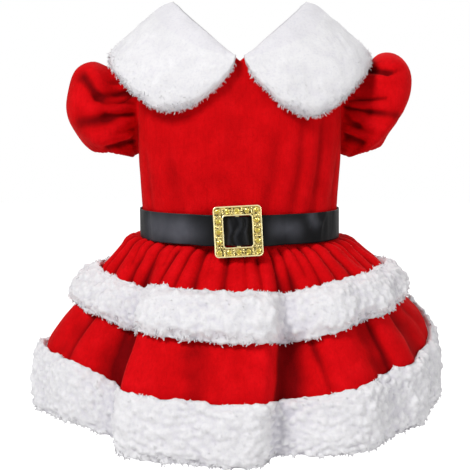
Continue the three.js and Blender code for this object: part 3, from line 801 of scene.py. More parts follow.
# %% Sew the sleeves
FOLD_FADE = 0.35
LEFT_FRONT_FOLDS = table(
    "out z to_out to_z wide high",
    (70, -56.5, 92, -59, 3.6, -2.8),
    (92, -59, 101, -47, 4.5, -2.6),
    (68, -63.6, 88, -63.6, 2.6, -1.9),
    (68, -67, 84, -68, 2.4, 1.0),
    (67, -70.1, 86, -72.3, 3.0, -2.6),
    (86, -72.3, 103, -76, 5.5, -2.4),
    (69, -76, 94, -87, 3.6, 1.4),
    (68, -79.4, 79, -82, 2.6, -1.8),
    (68, -88.1, 86, -92.4, 3.0, -3.2),
    (74, -84.5, 90, -89, 2.4, 1.2),
    (73, -47, 84, -50, 3.0, -1.4),
    (76, -43, 97, -43, 4.0, 0.9),
)
RIGHT_FRONT_FOLDS = table(
    "out z to_out to_z wide high",
    (84, -41.5, 96, -44.8, 2.4, -2.4),
    (96, -44.8, 104, -43.0, 2.2, -1.9),
    (80, -48, 99, -47.6, 1.8, 1.3),
    (72, -62.3, 94, -60.5, 1.5, -1.5),
    (73, -55, 90, -53, 3.2, 0.7),
    (69, -65.6, 84, -69, 1.8, -2.4),
    (84, -69, 102, -71.5, 2.8, -1.5),
    (74, -64.4, 94, -66, 1.8, 0.8),
    (68, -71, 77, -78, 3.0, -2.8),
    (77, -78, 84, -82, 3.4, -1.2),
    (70, -73.5, 92, -80, 3.4, 1.1),
    (67, -84, 80, -89, 2.8, -2.8),
    (72, -81, 88, -86.5, 2.2, 0.9),
)
BACK_FOLDS = table(
    "out z to_out to_z wide high",
    (70, -46, 96, -42, 3.6, -2.4),
    (68, -55, 104, -53, 3.6, -2.8),
    (69, -60, 90, -59, 2.6, 1.0),
    (68, -65, 92, -69, 3.2, -2.6),
    (68, -73, 88, -82, 3.2, -2.8),
    (70, -69, 98, -77, 3.4, 1.2),
    (68, -86, 84, -92, 3.0, -2.8),
)
# For each hand: the degrees by which its sleeve is raised, and the millimetres by which its cuff is
# nearer the body and its puff is fuller in front.
SLEEVE_POSES = {1: (9, 11, 3.2), -1: (1, 0, 0)}


def puff(hand, turn, along):
    """The smooth puff. A turn here goes round the sleeve: 0 is its top and 90 its front."""
    at = {name: read(SLEEVE_SECTIONS, "along", along, name) for name in SLEEVE_SECTIONS}
    start = {name: SLEEVE_SECTIONS[name][0] for name in SLEEVE_SECTIONS}
    up, ahead = np.cos(np.radians(turn)), np.sin(np.radians(turn))

    def oval(row):
        ends = ((row["outer" + axis], row["inner" + axis]) for axis in ("_x", "_z"))
        x, z = ((outer + inner) / 2 + (outer - inner) / 2 * up for outer, inner in ends)
        return x, -row["half_depth"] * ahead, z

    x, y, z = oval(at)
    edge_x, edge_y, edge_z = oval(start)
    depth = read(BODICE_LEVELS, "z", edge_z, "half_depth")
    body_x = bodice(90 - turn_at(np.abs(edge_y) / depth, edge_z), edge_z)[..., 0]
    x = x + (body_x - VELOUR / 2 - edge_x) * (1 - smoothstep(along, 0, 0.3))
    raised, nearer, _ = SLEEVE_POSES[hand]
    outer = 0.5 + 0.5 * up
    swing = np.radians(raised) * smoothstep(along, 0.05, 0.4) * (0.3 + 0.7 * outer)
    opening = 1 - 0.3 * smoothstep(along, 0.84, 0.97)
    x, z = x - edge_x - nearer * smoothstep(along, 0.45, 0.9) * opening * outer, z - ARMHOLE_Z
    return points(
        hand * (edge_x + x * np.cos(swing) - z * np.sin(swing)),
        y,
        ARMHOLE_Z + z * np.cos(swing) + x * np.sin(swing),
    )


def puff_sleeve(name, hand):
    """One sleeve with its folds, and with the gathers of both seams, where its rows are closest."""
    turn = np.linspace(0, 360, 201)[None, :-1]
    rows = np.linspace(0, 0.2, 16)[:-1], np.linspace(0.2, 0.8, 28)[:-1], np.linspace(0.8, 1, 16)
    turn, along = np.broadcast_arrays(turn, np.concatenate(rows)[:, None])
    base = puff(hand, turn, along)
    out = hand * normal_of(lambda u, v: puff(hand, u, v), turn, along, 0.5, 0.005)
    front = smoothstep(-base[..., 1], -4, 8)
    front_folds = LEFT_FRONT_FOLDS if hand == -1 else RIGHT_FRONT_FOLDS
    aside, level = np.abs(base[..., 0]), base[..., 2]
    folds = dents(front_folds, aside, level, FOLD_FADE) * front
    folds = folds + dents(BACK_FOLDS, aside, level, FOLD_FADE) * (1 - front)
    at_armhole = smoothstep(along, 0.01, 0.06) * (1 - smoothstep(along, 0.08, 0.24))
    at_cuff = smoothstep(along, 0.8, 0.95) * (1 - 0.6 * smoothstep(along, 0.95, 1))
    small = gather_wave(turn, 25, 0.75, 0.3, 0.7 + hand) - 0.25
    height = folds * smoothstep(along, 0.01, 0.1) + small * (0.55 * at_armhole + 0.65 * at_cuff)
    height = height + 0.3 * crumple(base, 14, 3 + hand)
    fuller = SLEEVE_POSES[hand][2]
    height = height + fuller * hump(np.hypot(away_from(turn, 10) / 48, (along - 0.46) / 0.2), 1)
    hollow = hollow_of(height, 2.2, 2.6, True)
    piece = tube_from(name, base + out * height[..., None], VELOUR, hand, hollow)
    return finish_piece(piece, velour, "velour", name.replace("puff_", ""))


for name, hand in (("puff_sleeve_left", -1), ("puff_sleeve_right", 1)):
    sleeve = puff_sleeve(name, hand)

# %% [markdown]
# ## The skirt
# The skirt has two tiers. The upper one is gathered all round into the waist seam: its folds are close
# together under the belt and fan out below it. Where a fold meets the fleece band it has opened out.
# The lower tier is fuller still and hangs in a few large folds, with a crisp edge where one laps over.


# %% Sew the two tiers of the skirt
TIER_COLUMNS, CREASE_SHARE, CREST = 500, 0.72, 2.4
UPPER_CREASES = table(
    "start end wide high first last",
    (-86, -83, 3.4, -4.6, 0.09, 0.46),
    (-77, -73, 3.0, -4.4, 0.09, 0.5),
    (-68, -64, 3.2, -5.4, 0.09, 0.5),
    (-60, -55, 2.2, -3.0, 0.09, 0.3),
    (-53, -50, 3.0, -5.2, 0.09, 0.5),
    (-44, -42, 2.6, -5.4, 0.09, 0.44),
    (-37, -35, 2.0, -3.0, 0.09, 0.28),
    (-32, -32, 2.8, -5.4, 0.12, 0.5),
    (-24, -25, 2.2, -4.2, 0.09, 0.42),
    (-17, -17, 2.8, -5.6, 0.09, 0.54),
    (-11, -11, 1.8, -2.6, 0.09, 0.3),
    (-5, -6, 2.8, -5.6, 0.09, 0.46),
    (2, 3, 2.2, -3.6, 0.1, 0.52),
    (8, 9, 3.0, -5.8, 0.14, 0.52),
    (15, 15.5, 2.2, -4.4, 0.09, 0.54),
    (21, 22, 2.6, -5.4, 0.09, 0.5),
    (27, 28, 2.0, -3.0, 0.09, 0.32),
    (33, 33, 2.6, -5.2, 0.09, 0.44),
    (40, 41, 2.4, -4.0, 0.09, 0.54),
    (49, 51, 3.0, -5.8, 0.09, 0.5),
    (57, 58, 2.2, -3.4, 0.09, 0.36),
    (64, 62, 3.0, -5.6, 0.09, 0.54),
    (72, 72, 2.6, -4.4, 0.09, 0.4),
    (81, 84, 3.0, -5.2, 0.09, 0.5),
    (89, 90, 2.3, -3.6, 0.09, 0.44),
    (98, 99, 2.0, -3.6, 0.09, 0.5),
    (105, 104, 2.9, -3.0, 0.09, 0.3),
    (114, 113, 2.5, -5.8, 0.09, 0.54),
    (122, 121, 2.3, -5.8, 0.09, 0.5),
    (131, 129, 2.6, -4.2, 0.09, 0.5),
    (136, 138, 2.2, -3.0, 0.09, 0.38),
    (142, 143, 2.3, -4.2, 0.09, 0.38),
    (151, 153, 2.2, -4.2, 0.09, 0.38),
    (160, 158, 2.0, -5.2, 0.09, 0.5),
    (166, 166, 2.3, -3.0, 0.09, 0.54),
    (174, 175, 2.1, -5.2, 0.09, 0.44),
    (181, 182, 2.2, -5.2, 0.09, 0.5),
    (187, 188, 2.9, -3.0, 0.09, 0.44),
    (193, 194, 2.4, -5.8, 0.09, 0.54),
    (200, 198, 2.6, -4.2, 0.09, 0.38),
    (206, 208, 2.3, -5.8, 0.09, 0.44),
    (213, 214, 2.1, -5.8, 0.09, 0.44),
    (219, 219, 2.2, -3.0, 0.09, 0.54),
    (228, 226, 2.3, -5.2, 0.09, 0.54),
    (236, 237, 2.2, -5.2, 0.09, 0.3),
    (244, 245, 3.0, -5.2, 0.09, 0.38),
    (250, 248, 2.5, -3.6, 0.09, 0.5),
    (259, 259, 2.8, -5.2, 0.09, 0.5),
    (265, 266, 2.8, -3.0, 0.09, 0.44),
)
LOWER_CREASES = table(
    "start end wide high first last",
    (-63, -60, 2.4, -2.4, 0.6, 0.88),
    (-55, -47, 3.0, 1.2, 0.62, 0.88),
    (-46, -39, 2.0, -1.8, 0.6, 0.86),
    (-35, -31, 1.5, 1.5, 0.58, 0.88),
    (-27, -24, 3.0, 0.5, 0.62, 0.8),
    (-15, -13, 3.4, -0.6, 0.6, 0.76),
    (1, 0, 3.0, -0.5, 0.6, 0.74),
    (9.5, 5.5, 1.5, 1.5, 0.58, 0.88),
    (25.5, 28, 1.5, -2.2, 0.58, 0.88),
    (29.5, 32, 1.8, 1.2, 0.58, 0.88),
    (50, 50.5, 1.8, -2.4, 0.58, 0.86),
    (54, 54, 2.2, 0.9, 0.6, 0.86),
    (66, 65, 2.6, -1.6, 0.6, 0.86),
    (80, 82, 4.0, -2.0, 0.6, 0.88),
    (118, 121, 4.0, 1.4, 0.62, 0.88),
    (148, 152, 4.0, -2.2, 0.6, 0.88),
    (181, 178, 4.0, 1.4, 0.62, 0.88),
    (216, 212, 4.0, -2.0, 0.6, 0.88),
    (246, 248, 4.0, 1.4, 0.62, 0.88),
    (278, 281, 4.0, -2.0, 0.6, 0.88),
)


def skirt_tier(name, rows, count, table_of_creases, sharp, lift, small, seed):
    """One tier, whose gathers and creases lie on the folded skirt. count is the number of gathers
    round it, lift raises its cloth, and small is the depth of crease that gets the full painted shade.
    No crest stands higher than the belt and the bands leave room for."""
    turn = np.linspace(0, 360, TIER_COLUMNS + 1)[None, :-1]
    turn, down = np.broadcast_arrays(turn, np.asarray(rows)[:, None])
    base, out = skirt(turn, down), bell_normal(turn, down)
    room = read(SKIRT_LEVELS, "down", down, "gather")
    under_belt = smoothstep(down, 0.05, 0.12)
    wave = gather_wave(turn, count, 0.62, 0.42, seed)
    height = room * (0.4 * wave - 0.1) * (1 - 0.7 * smoothstep(down, 0.17, 0.36)) + lift * room
    pressed = creases(table_of_creases, turn, down, sharp, 0.12)
    height = height + CREASE_SHARE * pressed * under_belt
    height = height + 0.3 * crumple(base, 10, seed) * under_belt
    height = np.minimum(height, 0.35 + CREST * smoothstep(down, 0.1, 0.16))
    hollow = hollow_of(height - fold_depth(turn, down), small, 7.0, True)
    piece = tube_from(name, base + out * height[..., None], VELOUR, -1, hollow)
    return finish_piece(piece, velour, "velour", name.replace("_tier", ""))


upper_rows = np.concatenate([np.linspace(0, 0.1, 6)[:-1], np.linspace(0.1, 0.496, 30)])
lower_rows = np.linspace(0.504, 0.826, 26)
upper_tier = skirt_tier("skirt_upper_tier", upper_rows, 46, UPPER_CREASES, 1.25, 0.5, 2.8, 0.9)
lower_tier = skirt_tier("skirt_lower_tier", lower_rows, 30, LOWER_CREASES, 1.6, 0, 2.4, 2.1)

# %% [markdown]
# ## Sherpa fleece
# Sherpa is a knitted back with curly fibres that clump into little woolly knots. Three layers make it
# here. The body of the fleece is a closed padded shape with a rounded edge. Its surface is heaped up
# round scattered centres, one for each knot, so that it is lumpy with narrow gaps. Short curled locks
# stand on the knots, and longer ones hang at the lower edge and stand at the upper one, where loose
# fibres always escape.


# %% Heap a surface into knots of wool
KNOT_BEND, KNOT_BEND_SIZE, KNOT_SHAPE = 1.7, 3.1, 2.4
random = np.random.default_rng(24)


def pad_normals(grid, ring_columns, out, row):
    """The normals of a pad's closed grid, on the side to which out points in one of its rows."""
    down = np.roll(grid, -1, 0) - np.roll(grid, 1, 0)
    if ring_columns:
        across = np.roll(grid, -1, 1) - np.roll(grid, 1, 1)
    else:
        across = np.gradient(grid, axis=1)
    normal = unit(np.cross(across, down))
    return -normal if np.sum(normal[row] * out[row]) < 0 else normal


def scatter(grid, ring_columns, spacing, tries):
    """Points spread over a grid, no two nearer than a spacing. Returns row, column and position."""
    rows, columns = grid.shape[:2]
    across = np.linalg.norm(np.roll(grid, -1, 1) - grid, axis=2)[:-1]
    down = np.linalg.norm(np.diff(grid, axis=0), axis=2)
    if not ring_columns:
        across[:, -1] = 0
    area = (across * down).ravel()
    cell = random.choice(area.size, tries, p=area / area.sum())
    row, column = cell // columns + random.random(tries), cell % columns + random.random(tries)
    i, j = row.astype(int), column.astype(int) % columns
    s, t = (row % 1)[:, None], (column % 1)[:, None]
    n, m = np.minimum(i + 1, rows - 1), (j + 1) % columns
    above, below = grid[i, j] * (1 - t) + grid[i, m] * t, grid[n, j] * (1 - t) + grid[n, m] * t
    place = above * (1 - s) + below * s
    kept, taken = [], {}
    for k, p in enumerate(place):
        home = tuple((p // spacing).astype(int))
        around = (
            taken.get((home[0] + a, home[1] + b, home[2] + c), ())
            for a in (-1, 0, 1)
            for b in (-1, 0, 1)
            for c in (-1, 0, 1)
        )
        if all(np.sum((place[q] - p) ** 2) > spacing**2 for near in around for q in near):
            taken.setdefault(home, []).append(k)
            kept.append(k)
    return row[kept], column[kept], place[kept]


def knots(grid, centres, high):
    """Height of a heap round each centre, at each point of a grid: 0 in the gaps. The grid is bent
    by noise first, so that the heaps come out crooked, as matted wool does. Blender moves this one
    noise at each start, so the knots of two runs differ by a fraction of a millimetre on average."""
    tree = KDTree(len(centres))
    for k, p in enumerate(centres):
        tree.insert(Vector(p), k)
    tree.balance()
    tall = high * (0.35 + 1.15 * random.random(len(centres)))
    heights = []
    for p in grid.reshape(-1, 3):
        bent = Vector(p) + KNOT_BEND * noise.noise_vector(Vector(p) / KNOT_BEND_SIZE)
        (_, first, near), (_, _, second) = tree.find_n(bent, 2)
        heights.append(tall[first] * (1 - (near / (0.5 * (near + second))) ** KNOT_SHAPE))
    return np.array(heights).reshape(grid.shape[:2])


def fleece_body(name, grid, normal, covered, spacing, high, sunk, deep, ring_columns, seed):
    """A lumpy closed body of fleece: knots of one spacing on wider, lower clumps. covered is 1 where
    the pile shows and less beside the cloth, sunk lowers its whole surface, and deep is the depth
    of the cloth's own folds."""
    cells = np.cross(np.gradient(grid, axis=0), np.gradient(grid, axis=1))
    area = np.linalg.norm(cells, axis=2).sum()
    row, column, centres = scatter(grid, ring_columns, spacing, int(area / spacing**2 * 5))
    _, _, clumps = scatter(grid, ring_columns, 2.1 * spacing, int(area / spacing**2))
    height = spread(knots(grid, centres, 1.05 * high), 1, True, ring_columns)
    height = height + spread(knots(grid, clumps, 0.8 * high), 4, True, ring_columns)
    height = height - sunk + 0.4 * crumple(grid, 9, seed)
    height = height + 0.12 * high * crumple(grid, 2.2, seed + 1)
    lumpy = grid + normal * (height * covered)[..., None]
    # Painted shade: deep between the knots and in the recesses of the cloth's folds, and a little on the
    # faces beside the cloth.
    hollow = (spread(height, 14, True, ring_columns) - height) / 1.3
    hollow = hollow + (spread(-deep, FAR, True, ring_columns) + deep) / 6
    hollow = np.where(covered > 0.5, hollow, 0.3)
    faces = grid_faces(*grid.shape[:2], True, ring_columns)
    piece = mesh_piece(name, lumpy.reshape(-1, 3), faces, cloth_uvs(lumpy), hollow)
    made = bmesh.new()
    made.from_mesh(piece.data)
    open_edges = [edge for edge in made.edges if edge.is_boundary]
    if open_edges:
        bmesh.ops.holes_fill(made, edges=open_edges, sides=0)
    bmesh.ops.recalc_face_normals(made, faces=made.faces)
    made.to_mesh(piece.data)
    made.free()
    print(name, len(centres), "knots")
    return piece, lumpy, (row, column, hollow)


# %% Curl short locks of fibre
SIDES, TAPER, CURL = 3, (1.0, 1.0, 0.9, 0.5), 2.2
JOINTS = len(TAPER)


def locks(name, roots, heads, lengths, thick, hollow):
    """Tapered, curled locks as one mesh of triangles: a bent tube each, with a floor and a pointed
    tip. heads are the directions in which they grow."""
    count = len(roots)
    heads = unit(heads)
    aside = unit(np.cross(heads, unit(random.normal(size=(count, 3)))))
    other = np.cross(heads, aside)
    spin = random.choice([-1.0, 1.0], count) * CURL * (0.6 + 0.8 * random.random(count))
    turn = (2 * np.pi * np.arange(SIDES) / SIDES)[None, :, None]
    rim = np.cos(turn) * aside[:, None] + np.sin(turn) * other[:, None]
    rings = []
    for along, taper in zip(np.linspace(0, 1, JOINTS), TAPER):
        bend = spin * along
        reach = lengths * along * (1 - 0.18 * along)
        centre = roots + heads * reach[:, None]
        centre = centre + aside * (lengths * 0.32 * np.sin(bend))[:, None]
        centre = centre + other * (lengths * 0.2 * (1 - np.cos(bend)))[:, None]
        rings.append(centre[:, None] + rim * (thick * taper)[:, None, None])
    corners = np.stack(rings, axis=1).reshape(count, -1, 3)
    corners = np.concatenate([corners, corners[:, -SIDES:].mean(axis=1, keepdims=True)], axis=1)
    tube = grid_faces(JOINTS, SIDES, ring_columns=True)[:, ::-1]
    triangles = np.concatenate([tube[:, [0, 1, 2]], tube[:, [0, 2, 3]]])
    last = (JOINTS - 1) * SIDES
    tip = [[last + k, last + (k + 1) % SIDES, last + SIDES] for k in range(SIDES)]
    one = np.concatenate([triangles, [[2, 1, 0]], tip])
    faces = (one[None] + (np.arange(count) * corners.shape[1])[:, None, None]).reshape(-1, 3)
    # Each lock takes four fifths of the painted shading at its root.
    hollow = np.repeat(hollow * 0.8, corners.shape[1])
    return mesh_piece(name, corners.reshape(-1, 3), faces, hollow=hollow)


def grow_locks(name, body, at, ring_columns, length, thick, droop, spread_out, density):
    """Locks on the surface of a lumpy grid, near rows and columns of it, as many to each place as
    density says. droop pulls them down, or up where it is below 0."""
    lumpy, normal, hollow = body
    rows, columns = lumpy.shape[:2]
    lean = np.repeat(random.normal(size=(len(at[0]), 3)), density, axis=0)
    row, column = (np.repeat(part, density) for part in at)
    row = row + random.normal(size=len(row)) * 1.4
    column = column + random.normal(size=len(row)) * 1.4
    i = np.clip(row.round().astype(int), 0, rows - 1)
    j = column.round().astype(int)
    j = j % columns if ring_columns else np.clip(j, 0, columns - 1)
    roots, out = lumpy[i, j], normal[i, j]
    heads = out + spread_out * (0.8 * lean + 0.45 * random.normal(size=out.shape))
    heads = heads + droop * np.array([0, 0, -1.0])
    lengths = length * (0.5 + 1.0 * random.random(len(roots)))
    widths = thick * (0.7 + 0.6 * random.random(len(roots)))
    return locks(name, roots - out * 0.4, heads, lengths, widths, hollow[i, j])


# %% [markdown]
# The fleece is white in the light. A cool grey is painted as shade where the knots shade each other,
# which its hollow attribute tells, and their tops are painted a little lighter. Its fibres are curly,
# so the relief between them is noise without a direction.

# %% Colour the fleece
# Painted shade between the knots, and a little painted light on their tops.
FLEECE_PAINTED_SHADING = (
    (0.3, (1.05, 1.05, 1.05)),
    (0.5, (1, 1, 1)),
    (0.75, (0.94, 0.93, 0.96)),
    (1.0, (0.76, 0.75, 0.8)),
)

fleece_curls, place = open_group("fleece curls")
clouds = noise_of(fleece_curls, place, 70, 2)
curls = noise_of(fleece_curls, place, 620, 4, 0.7)
strands = noise_of(fleece_curls, place, 2200, 2, 0.6)
whites = ramp_of(fleece_curls, clouds, (0.3, (0.74, 0.732, 0.75)), (0.6, (0.785, 0.777, 0.792)))
# Painted shade in the curls: the noise of their bump, darker and cooler where it is low.
curl_painted_shade = ramp_of(fleece_curls, curls, (0.3, (0.9, 0.9, 0.93)), (0.52, (1, 1, 1)))
matted = mix_of(fleece_curls, curls, strands, 0.4)
close_group(fleece_curls, multiply(fleece_curls, whites, curl_painted_shade), matted)

fleece, tree, shader = new_material(
    "white sherpa fleece",
    Roughness=0.95,
    Specular_IOR_Level=0.1,
    Sheen_Weight=0.15,
    Sheen_Roughness=0.6,
)
use_group(tree, shader, fleece_curls, 0.35, FLEECE_PAINTED_SHADING)

# %% [markdown]
# ## The two fleece bands
# A band is a strip of fleece, turned under at both edges and sewn on over the cloth, so its section
# is a flat pad with rounded edges. It follows the folds of the skirt. The wide band at the hem wraps
# round the raw edge of the cloth and reaches a little way up inside.


# %% Roll the bands
BAND_PROFILE = table(
    "down inner outer",
    (0.375, 1.4, 4.4),
    (0.42, 1.8, 8.6),
    (0.5, 3, 10.6),
    (0.585, 3, 10),
    (0.628, 2.4, 4.6),
)
HEM_PROFILE = table(
    "down inner outer",
    (0.814, 1, 3.6),
    (0.836, 1, 6.4),
    (0.865, -2.4, 6.5),
    (0.97, -3, 6.5),
    (1.012, -0.8, 3.6),
)
BAND_SUNK = 1.5


def fleece_band(name, profile, columns, outer_rows, inner_rows, spacing, high, seed):
    """A band without its locks. The grid's rows go down the outer face and up the inner one, and
    are closer at the edges."""
    first, last = profile["down"][0], profile["down"][-1]

    def blend(count):
        even = np.linspace(0, 1, count)
        return 0.6 * even + 0.4 * (0.5 - 0.5 * np.cos(np.pi * even))

    outer = first + (last - first) * blend(outer_rows)
    inner = last + (first - last) * blend(inner_rows + 2)[1:-1]
    faces = read(profile, "down", outer, "outer"), read(profile, "down", inner, "inner")
    turn = np.linspace(0, 360, columns + 1)[None, :-1]
    turn, down = np.broadcast_arrays(turn, np.concatenate([outer, inner])[:, None])
    base, out = skirt(turn, down), bell_normal(turn, down)
    grid = base + out * np.concatenate(faces)[:, None, None]
    normal = pad_normals(grid, True, out, outer_rows // 2)
    shown = np.concatenate([np.ones(outer_rows), 0.3 * np.ones(inner_rows)])
    covered = np.broadcast_to(shown[:, None], turn.shape)
    deep = fold_depth(turn, down)
    piece, lumpy, (row, column, hollow) = fleece_body(
        name, grid, normal, covered, spacing, high, BAND_SUNK, deep, True, seed
    )
    return piece, (lumpy, normal, hollow), row, column, outer_rows


def locks_for(band, low_share, length, hang, name, top_share):
    """Short locks over the outer face of a band, and longer ones that hang at its lower edge and
    stand at its upper one. The shares say how much of its height the two edges take."""
    _, body, row, column, outer_rows = band
    low = np.abs(row - outer_rows * 0.97) < outer_rows * low_share
    return [
        grow_locks(name + kind, body, (row[chosen], column[chosen]), True, *looks)
        for kind, chosen, *looks in (
            ("_curls", row < outer_rows, length, 0.24, 0.25, 0.9, 2),
            ("_fringe", low, hang, 0.46, 0.7, 0.8, 6),
            ("_top_tufts", row < outer_rows * top_share, 0.7 * hang, 0.42, -0.4, 0.8, 6),
        )
    ]


middle = fleece_band("middle_band_fleece", BAND_PROFILE, 640, 34, 10, 3.6, 1.9, 11)
hem = fleece_band("hem_band_fleece", HEM_PROFILE, 800, 52, 16, 3.8, 1.8, 12)
finish_piece(middle[0], fleece, "fleece", "band_middle")
finish_piece(hem[0], fleece, "fleece", "band_hem")
middle_locks = locks_for(middle, 0.14, 1.2, 1.8, "middle_band", 0.1)
hem_locks = locks_for(hem, 0.12, 1.3, 1.9, "hem_band", 0.03)
for tuft in (*middle_locks, *hem_locks):
    finish_piece(tuft, fleece, "fleece")

# %% [markdown]
# ## The collar
# The collar is a flat collar of two wings. Each is cut as a curved piece with a rounded front corner,
# lies flat over the shoulder, and meets the other at the point of the V in front and behind.


# %% Lay the two wings over the shoulders
COLLAR_PROFILE = table(
    "across height", (0, 0.4), (0.12, 0.85), (0.4, 1.0), (0.7, 1.0), (0.92, 0.85), (1.0, 0.35)
)
COLLAR_PILE, COLLAR_CLEAR = 6.5, VELOUR / 2 + SEAM + 0.3
COLLAR_COLUMNS, COLLAR_TOP_ROWS, COLLAR_UNDER_ROWS = 210, 40, 10
WING_LIFT = {1: 0, -1: 3.0}


def collar_wing(name, hand, seed):
    """One wing, and its locks. Its columns go from the front middle over the shoulder to the back
    middle, and its rows from the neck to the edge and back below."""
    top_rows, under_rows, half = COLLAR_TOP_ROWS, COLLAR_UNDER_ROWS, COLLAR_STATIONS["at"][-1]
    progress = np.linspace(0, 2 * half, COLLAR_COLUMNS)[None, :]
    is_back = progress > half
    at = np.where(is_back, 2 * half - progress, progress)
    rows = np.linspace(0, 1, top_rows), np.linspace(1, 0, under_rows + 2)[1:-1]
    across = np.concatenate(rows)[:, None]
    is_top = (np.arange(top_rows + under_rows) < top_rows)[:, None]
    ends = {key: read(COLLAR_STATIONS, "at", at, key) for key in COLLAR_STATIONS}
    turn = ends["neck_turn"] + (ends["edge_turn"] - ends["neck_turn"]) * across
    lifted = WING_LIFT[hand] * hump(at - 4.6, 2.2)
    z = ends["neck_z"] + (ends["edge_z"] + lifted - ends["neck_z"]) * across
    turn = hand * np.where(is_back, 180 - turn, turn)
    out = normal_of(cape, turn, z, 0.5, 0.5)
    pile = COLLAR_PILE * read(COLLAR_PROFILE, "across", across, "height") * is_top
    grid = cape(turn, z) + out * (COLLAR_CLEAR + pile)[..., None]
    normal = pad_normals(grid, False, out, top_rows // 2)
    covered = np.broadcast_to(is_top * (0.35 + 0.65 * across), turn.shape)
    deep = np.zeros(turn.shape)
    piece, lumpy, (row, column, hollow) = fleece_body(
        name, grid, normal, covered, 3.2, 0.7, 0.5, deep, False, seed
    )
    body = lumpy, normal, hollow
    seen = (row < top_rows) & (row > 0.72 * top_rows)
    low = np.abs(row - (top_rows - 1)) < 2.6
    return piece, [
        grow_locks(name + kind, body, (row[chosen], column[chosen]), False, *looks)
        for kind, chosen, *looks in (
            ("_curls", seen, 1.3, 0.22, 0.3, 0.9, 3),
            ("_fringe", low, 2.2, 0.28, 0.8, 0.7, 12),
        )
    ]


for name, hand, seed in (("collar_wing_left", -1, 21), ("collar_wing_right", 1, 22)):
    wing, tufts = collar_wing(name, hand, seed)
    finish_piece(wing, fleece, "fleece", name.replace("_wing", ""))
    for tuft in tufts:
        finish_piece(tuft, fleece, "fleece")

# %% [markdown]
# ## The satin belt
# The belt is one length of black satin ribbon. It goes round the waist over the seam, and passes
# behind one rail of the buckle, over the middle bar, and behind the other rail. The bar pinches it, so
# it shows soft pulls in the window. Satin shines softly where it bends towards the light, and here
# those highlights are painted: a table places them, and the ribbon's hollow attribute keeps them.


# %% Thread the ribbon through the buckle
BUCKLE_PLACE = np.array([-1.2, -61.4, -143.8])
BUCKLE_LEAN, BUCKLE_TILT = math.radians(8), math.radians(3)
BELT_TOP, BELT_BOTTOM, BELT_CLEAR = -133.6, -153.2, 2.7
RIBBON, RIBBON_SHEET = 1.0, 0.8
MM_PER_DEGREE = 1.1
WINDOW_HALF_WIDTH, WINDOW_HALF_HEIGHT = 8.8, 9.8
BELT_THREAD = table(
    "aside ahead share pinch",
    (0, 1.5, 1, 0.065),
    (2, 1.45, 1, 0.065),
    (8, -1.5, 1, 0.055),
    (17, -1.7, 1, 0),
    (30, -1.7, 0, 0),
)
RIBBON_CREASES = table(
    "along z to_along to_z wide high",
    (38.5, -134, 42.9, -141, 1.7, -0.5),
    (46.2, -134, 45.1, -143, 1.7, 0.4),
    (50.6, -134, 52.8, -141, 1.5, -0.4),
    (53.9, -142, 52.8, -152, 1.8, 0.5),
    (53.9, -142, 59.4, -134, 1.6, 0.4),
    (67.1, -135, 64.9, -152, 3, -0.5),
    (24.2, -147, 33, -141, 2.4, 0.3),
    (-33, -146, -19.8, -141, 3, 0.3),
    (-50.6, -152, -46.2, -139, 2.6, 0.3),
    (-66, -135, -63.8, -152, 3, -0.5),
    (-18.7, -150, -28.6, -144, 2.2, -0.3),
    (129.8, -135, 134.2, -151, 2.4, 0.4),
    (165, -151, 160.6, -137, 2.6, -0.4),
    (-193.6, -135, -198, -150, 2.6, 0.4),
    (-160.6, -151, -155.1, -137, 2.4, -0.4),
    (-128.7, -135, -132, -151, 2.6, 0.4),
)
# Painted highlights on the ribbon: each row is a soft band of lighter colour along a line.
SATIN_PAINTED_HIGHLIGHTS = table(
    "along z to_along to_z wide high",
    (-60, -143.5, -36, -144, 10, 0.8),
    (-36, -144, -24, -145, 7, 0.3),
    (21, -142, 32, -144, 5.5, 0.6),
    (45, -136, 48, -140, 4, 0.6),
    (100, -143, 116, -143, 8, 0.6),
    (150, -144, 174, -143, 9, 0.8),
    (-170, -142, -156, -144, 8, 0.6),
    (-126, -143, -112, -143, 8, 0.7),
)


def ribbon_height(turn, z):
    """A faint ripple, with dents and ridges along short lines over the ribbon."""
    ripple = 0.12 * np.sin(np.radians(turn) * 23 + z * 0.12) * np.sin(np.radians(turn) * 9 + 1)
    return ripple + dents(RIBBON_CREASES, away_from(turn, 0) * MM_PER_DEGREE, z, 0.3)


def window_pulls(aside, up):
    """The ribbon's ridges and troughs in the window of the buckle, where the bar pinches it, at
    places in mm from the window's middle."""
    u, v = aside / WINDOW_HALF_WIDTH, up / WINDOW_HALF_HEIGHT
    sway = u - 0.2 * np.sin(3.4 * v)
    pull = 0.35 * hump(sway, 0.13) - 0.55 * hump(sway - 0.26, 0.12) - 0.5 * hump(sway + 0.28, 0.12)
    pull = pull + 0.4 * hump(np.abs(u) - 0.5 - 0.22 * np.abs(v), 0.13)
    return pull * (1 - smoothstep(np.abs(aside), 5.5, 8)) * (1 - 0.4 * v**2)


step = np.linspace(0, 360, 401)[None, :-1]
turn = step - 24 * np.sin(np.radians(step))
z = np.linspace(BELT_TOP - 0.1, BELT_BOTTOM + 0.1, 24)[:, None]
turn, z = np.broadcast_arrays(turn, z)
top = np.full_like(turn, BELT_TOP)
flat_out = unit(normal_of(bodice, turn, top, 0.5, 0.5) * (1, 1, 0))
ring = bodice(turn, top) + flat_out * (BELT_CLEAR - RIBBON / 2)
aside = np.abs(ring[..., 0] - BUCKLE_PLACE[0])
threaded = (ring[..., 1] < 0) & (aside < 30)
dented = np.maximum(ribbon_height(turn, z) * smoothstep(aside, 12, 22), -0.3)
grid = ring + flat_out * dented[..., None]
middle_z = BUCKLE_PLACE[2]
pull = window_pulls(ring[..., 0] - BUCKLE_PLACE[0], z - middle_z)
pinched = middle_z + (z - middle_z) * (1 - read(BELT_THREAD, "aside", aside, "pinch"))
back = BUCKLE_PLACE[1] + (pinched - middle_z) * math.tan(BUCKLE_LEAN)
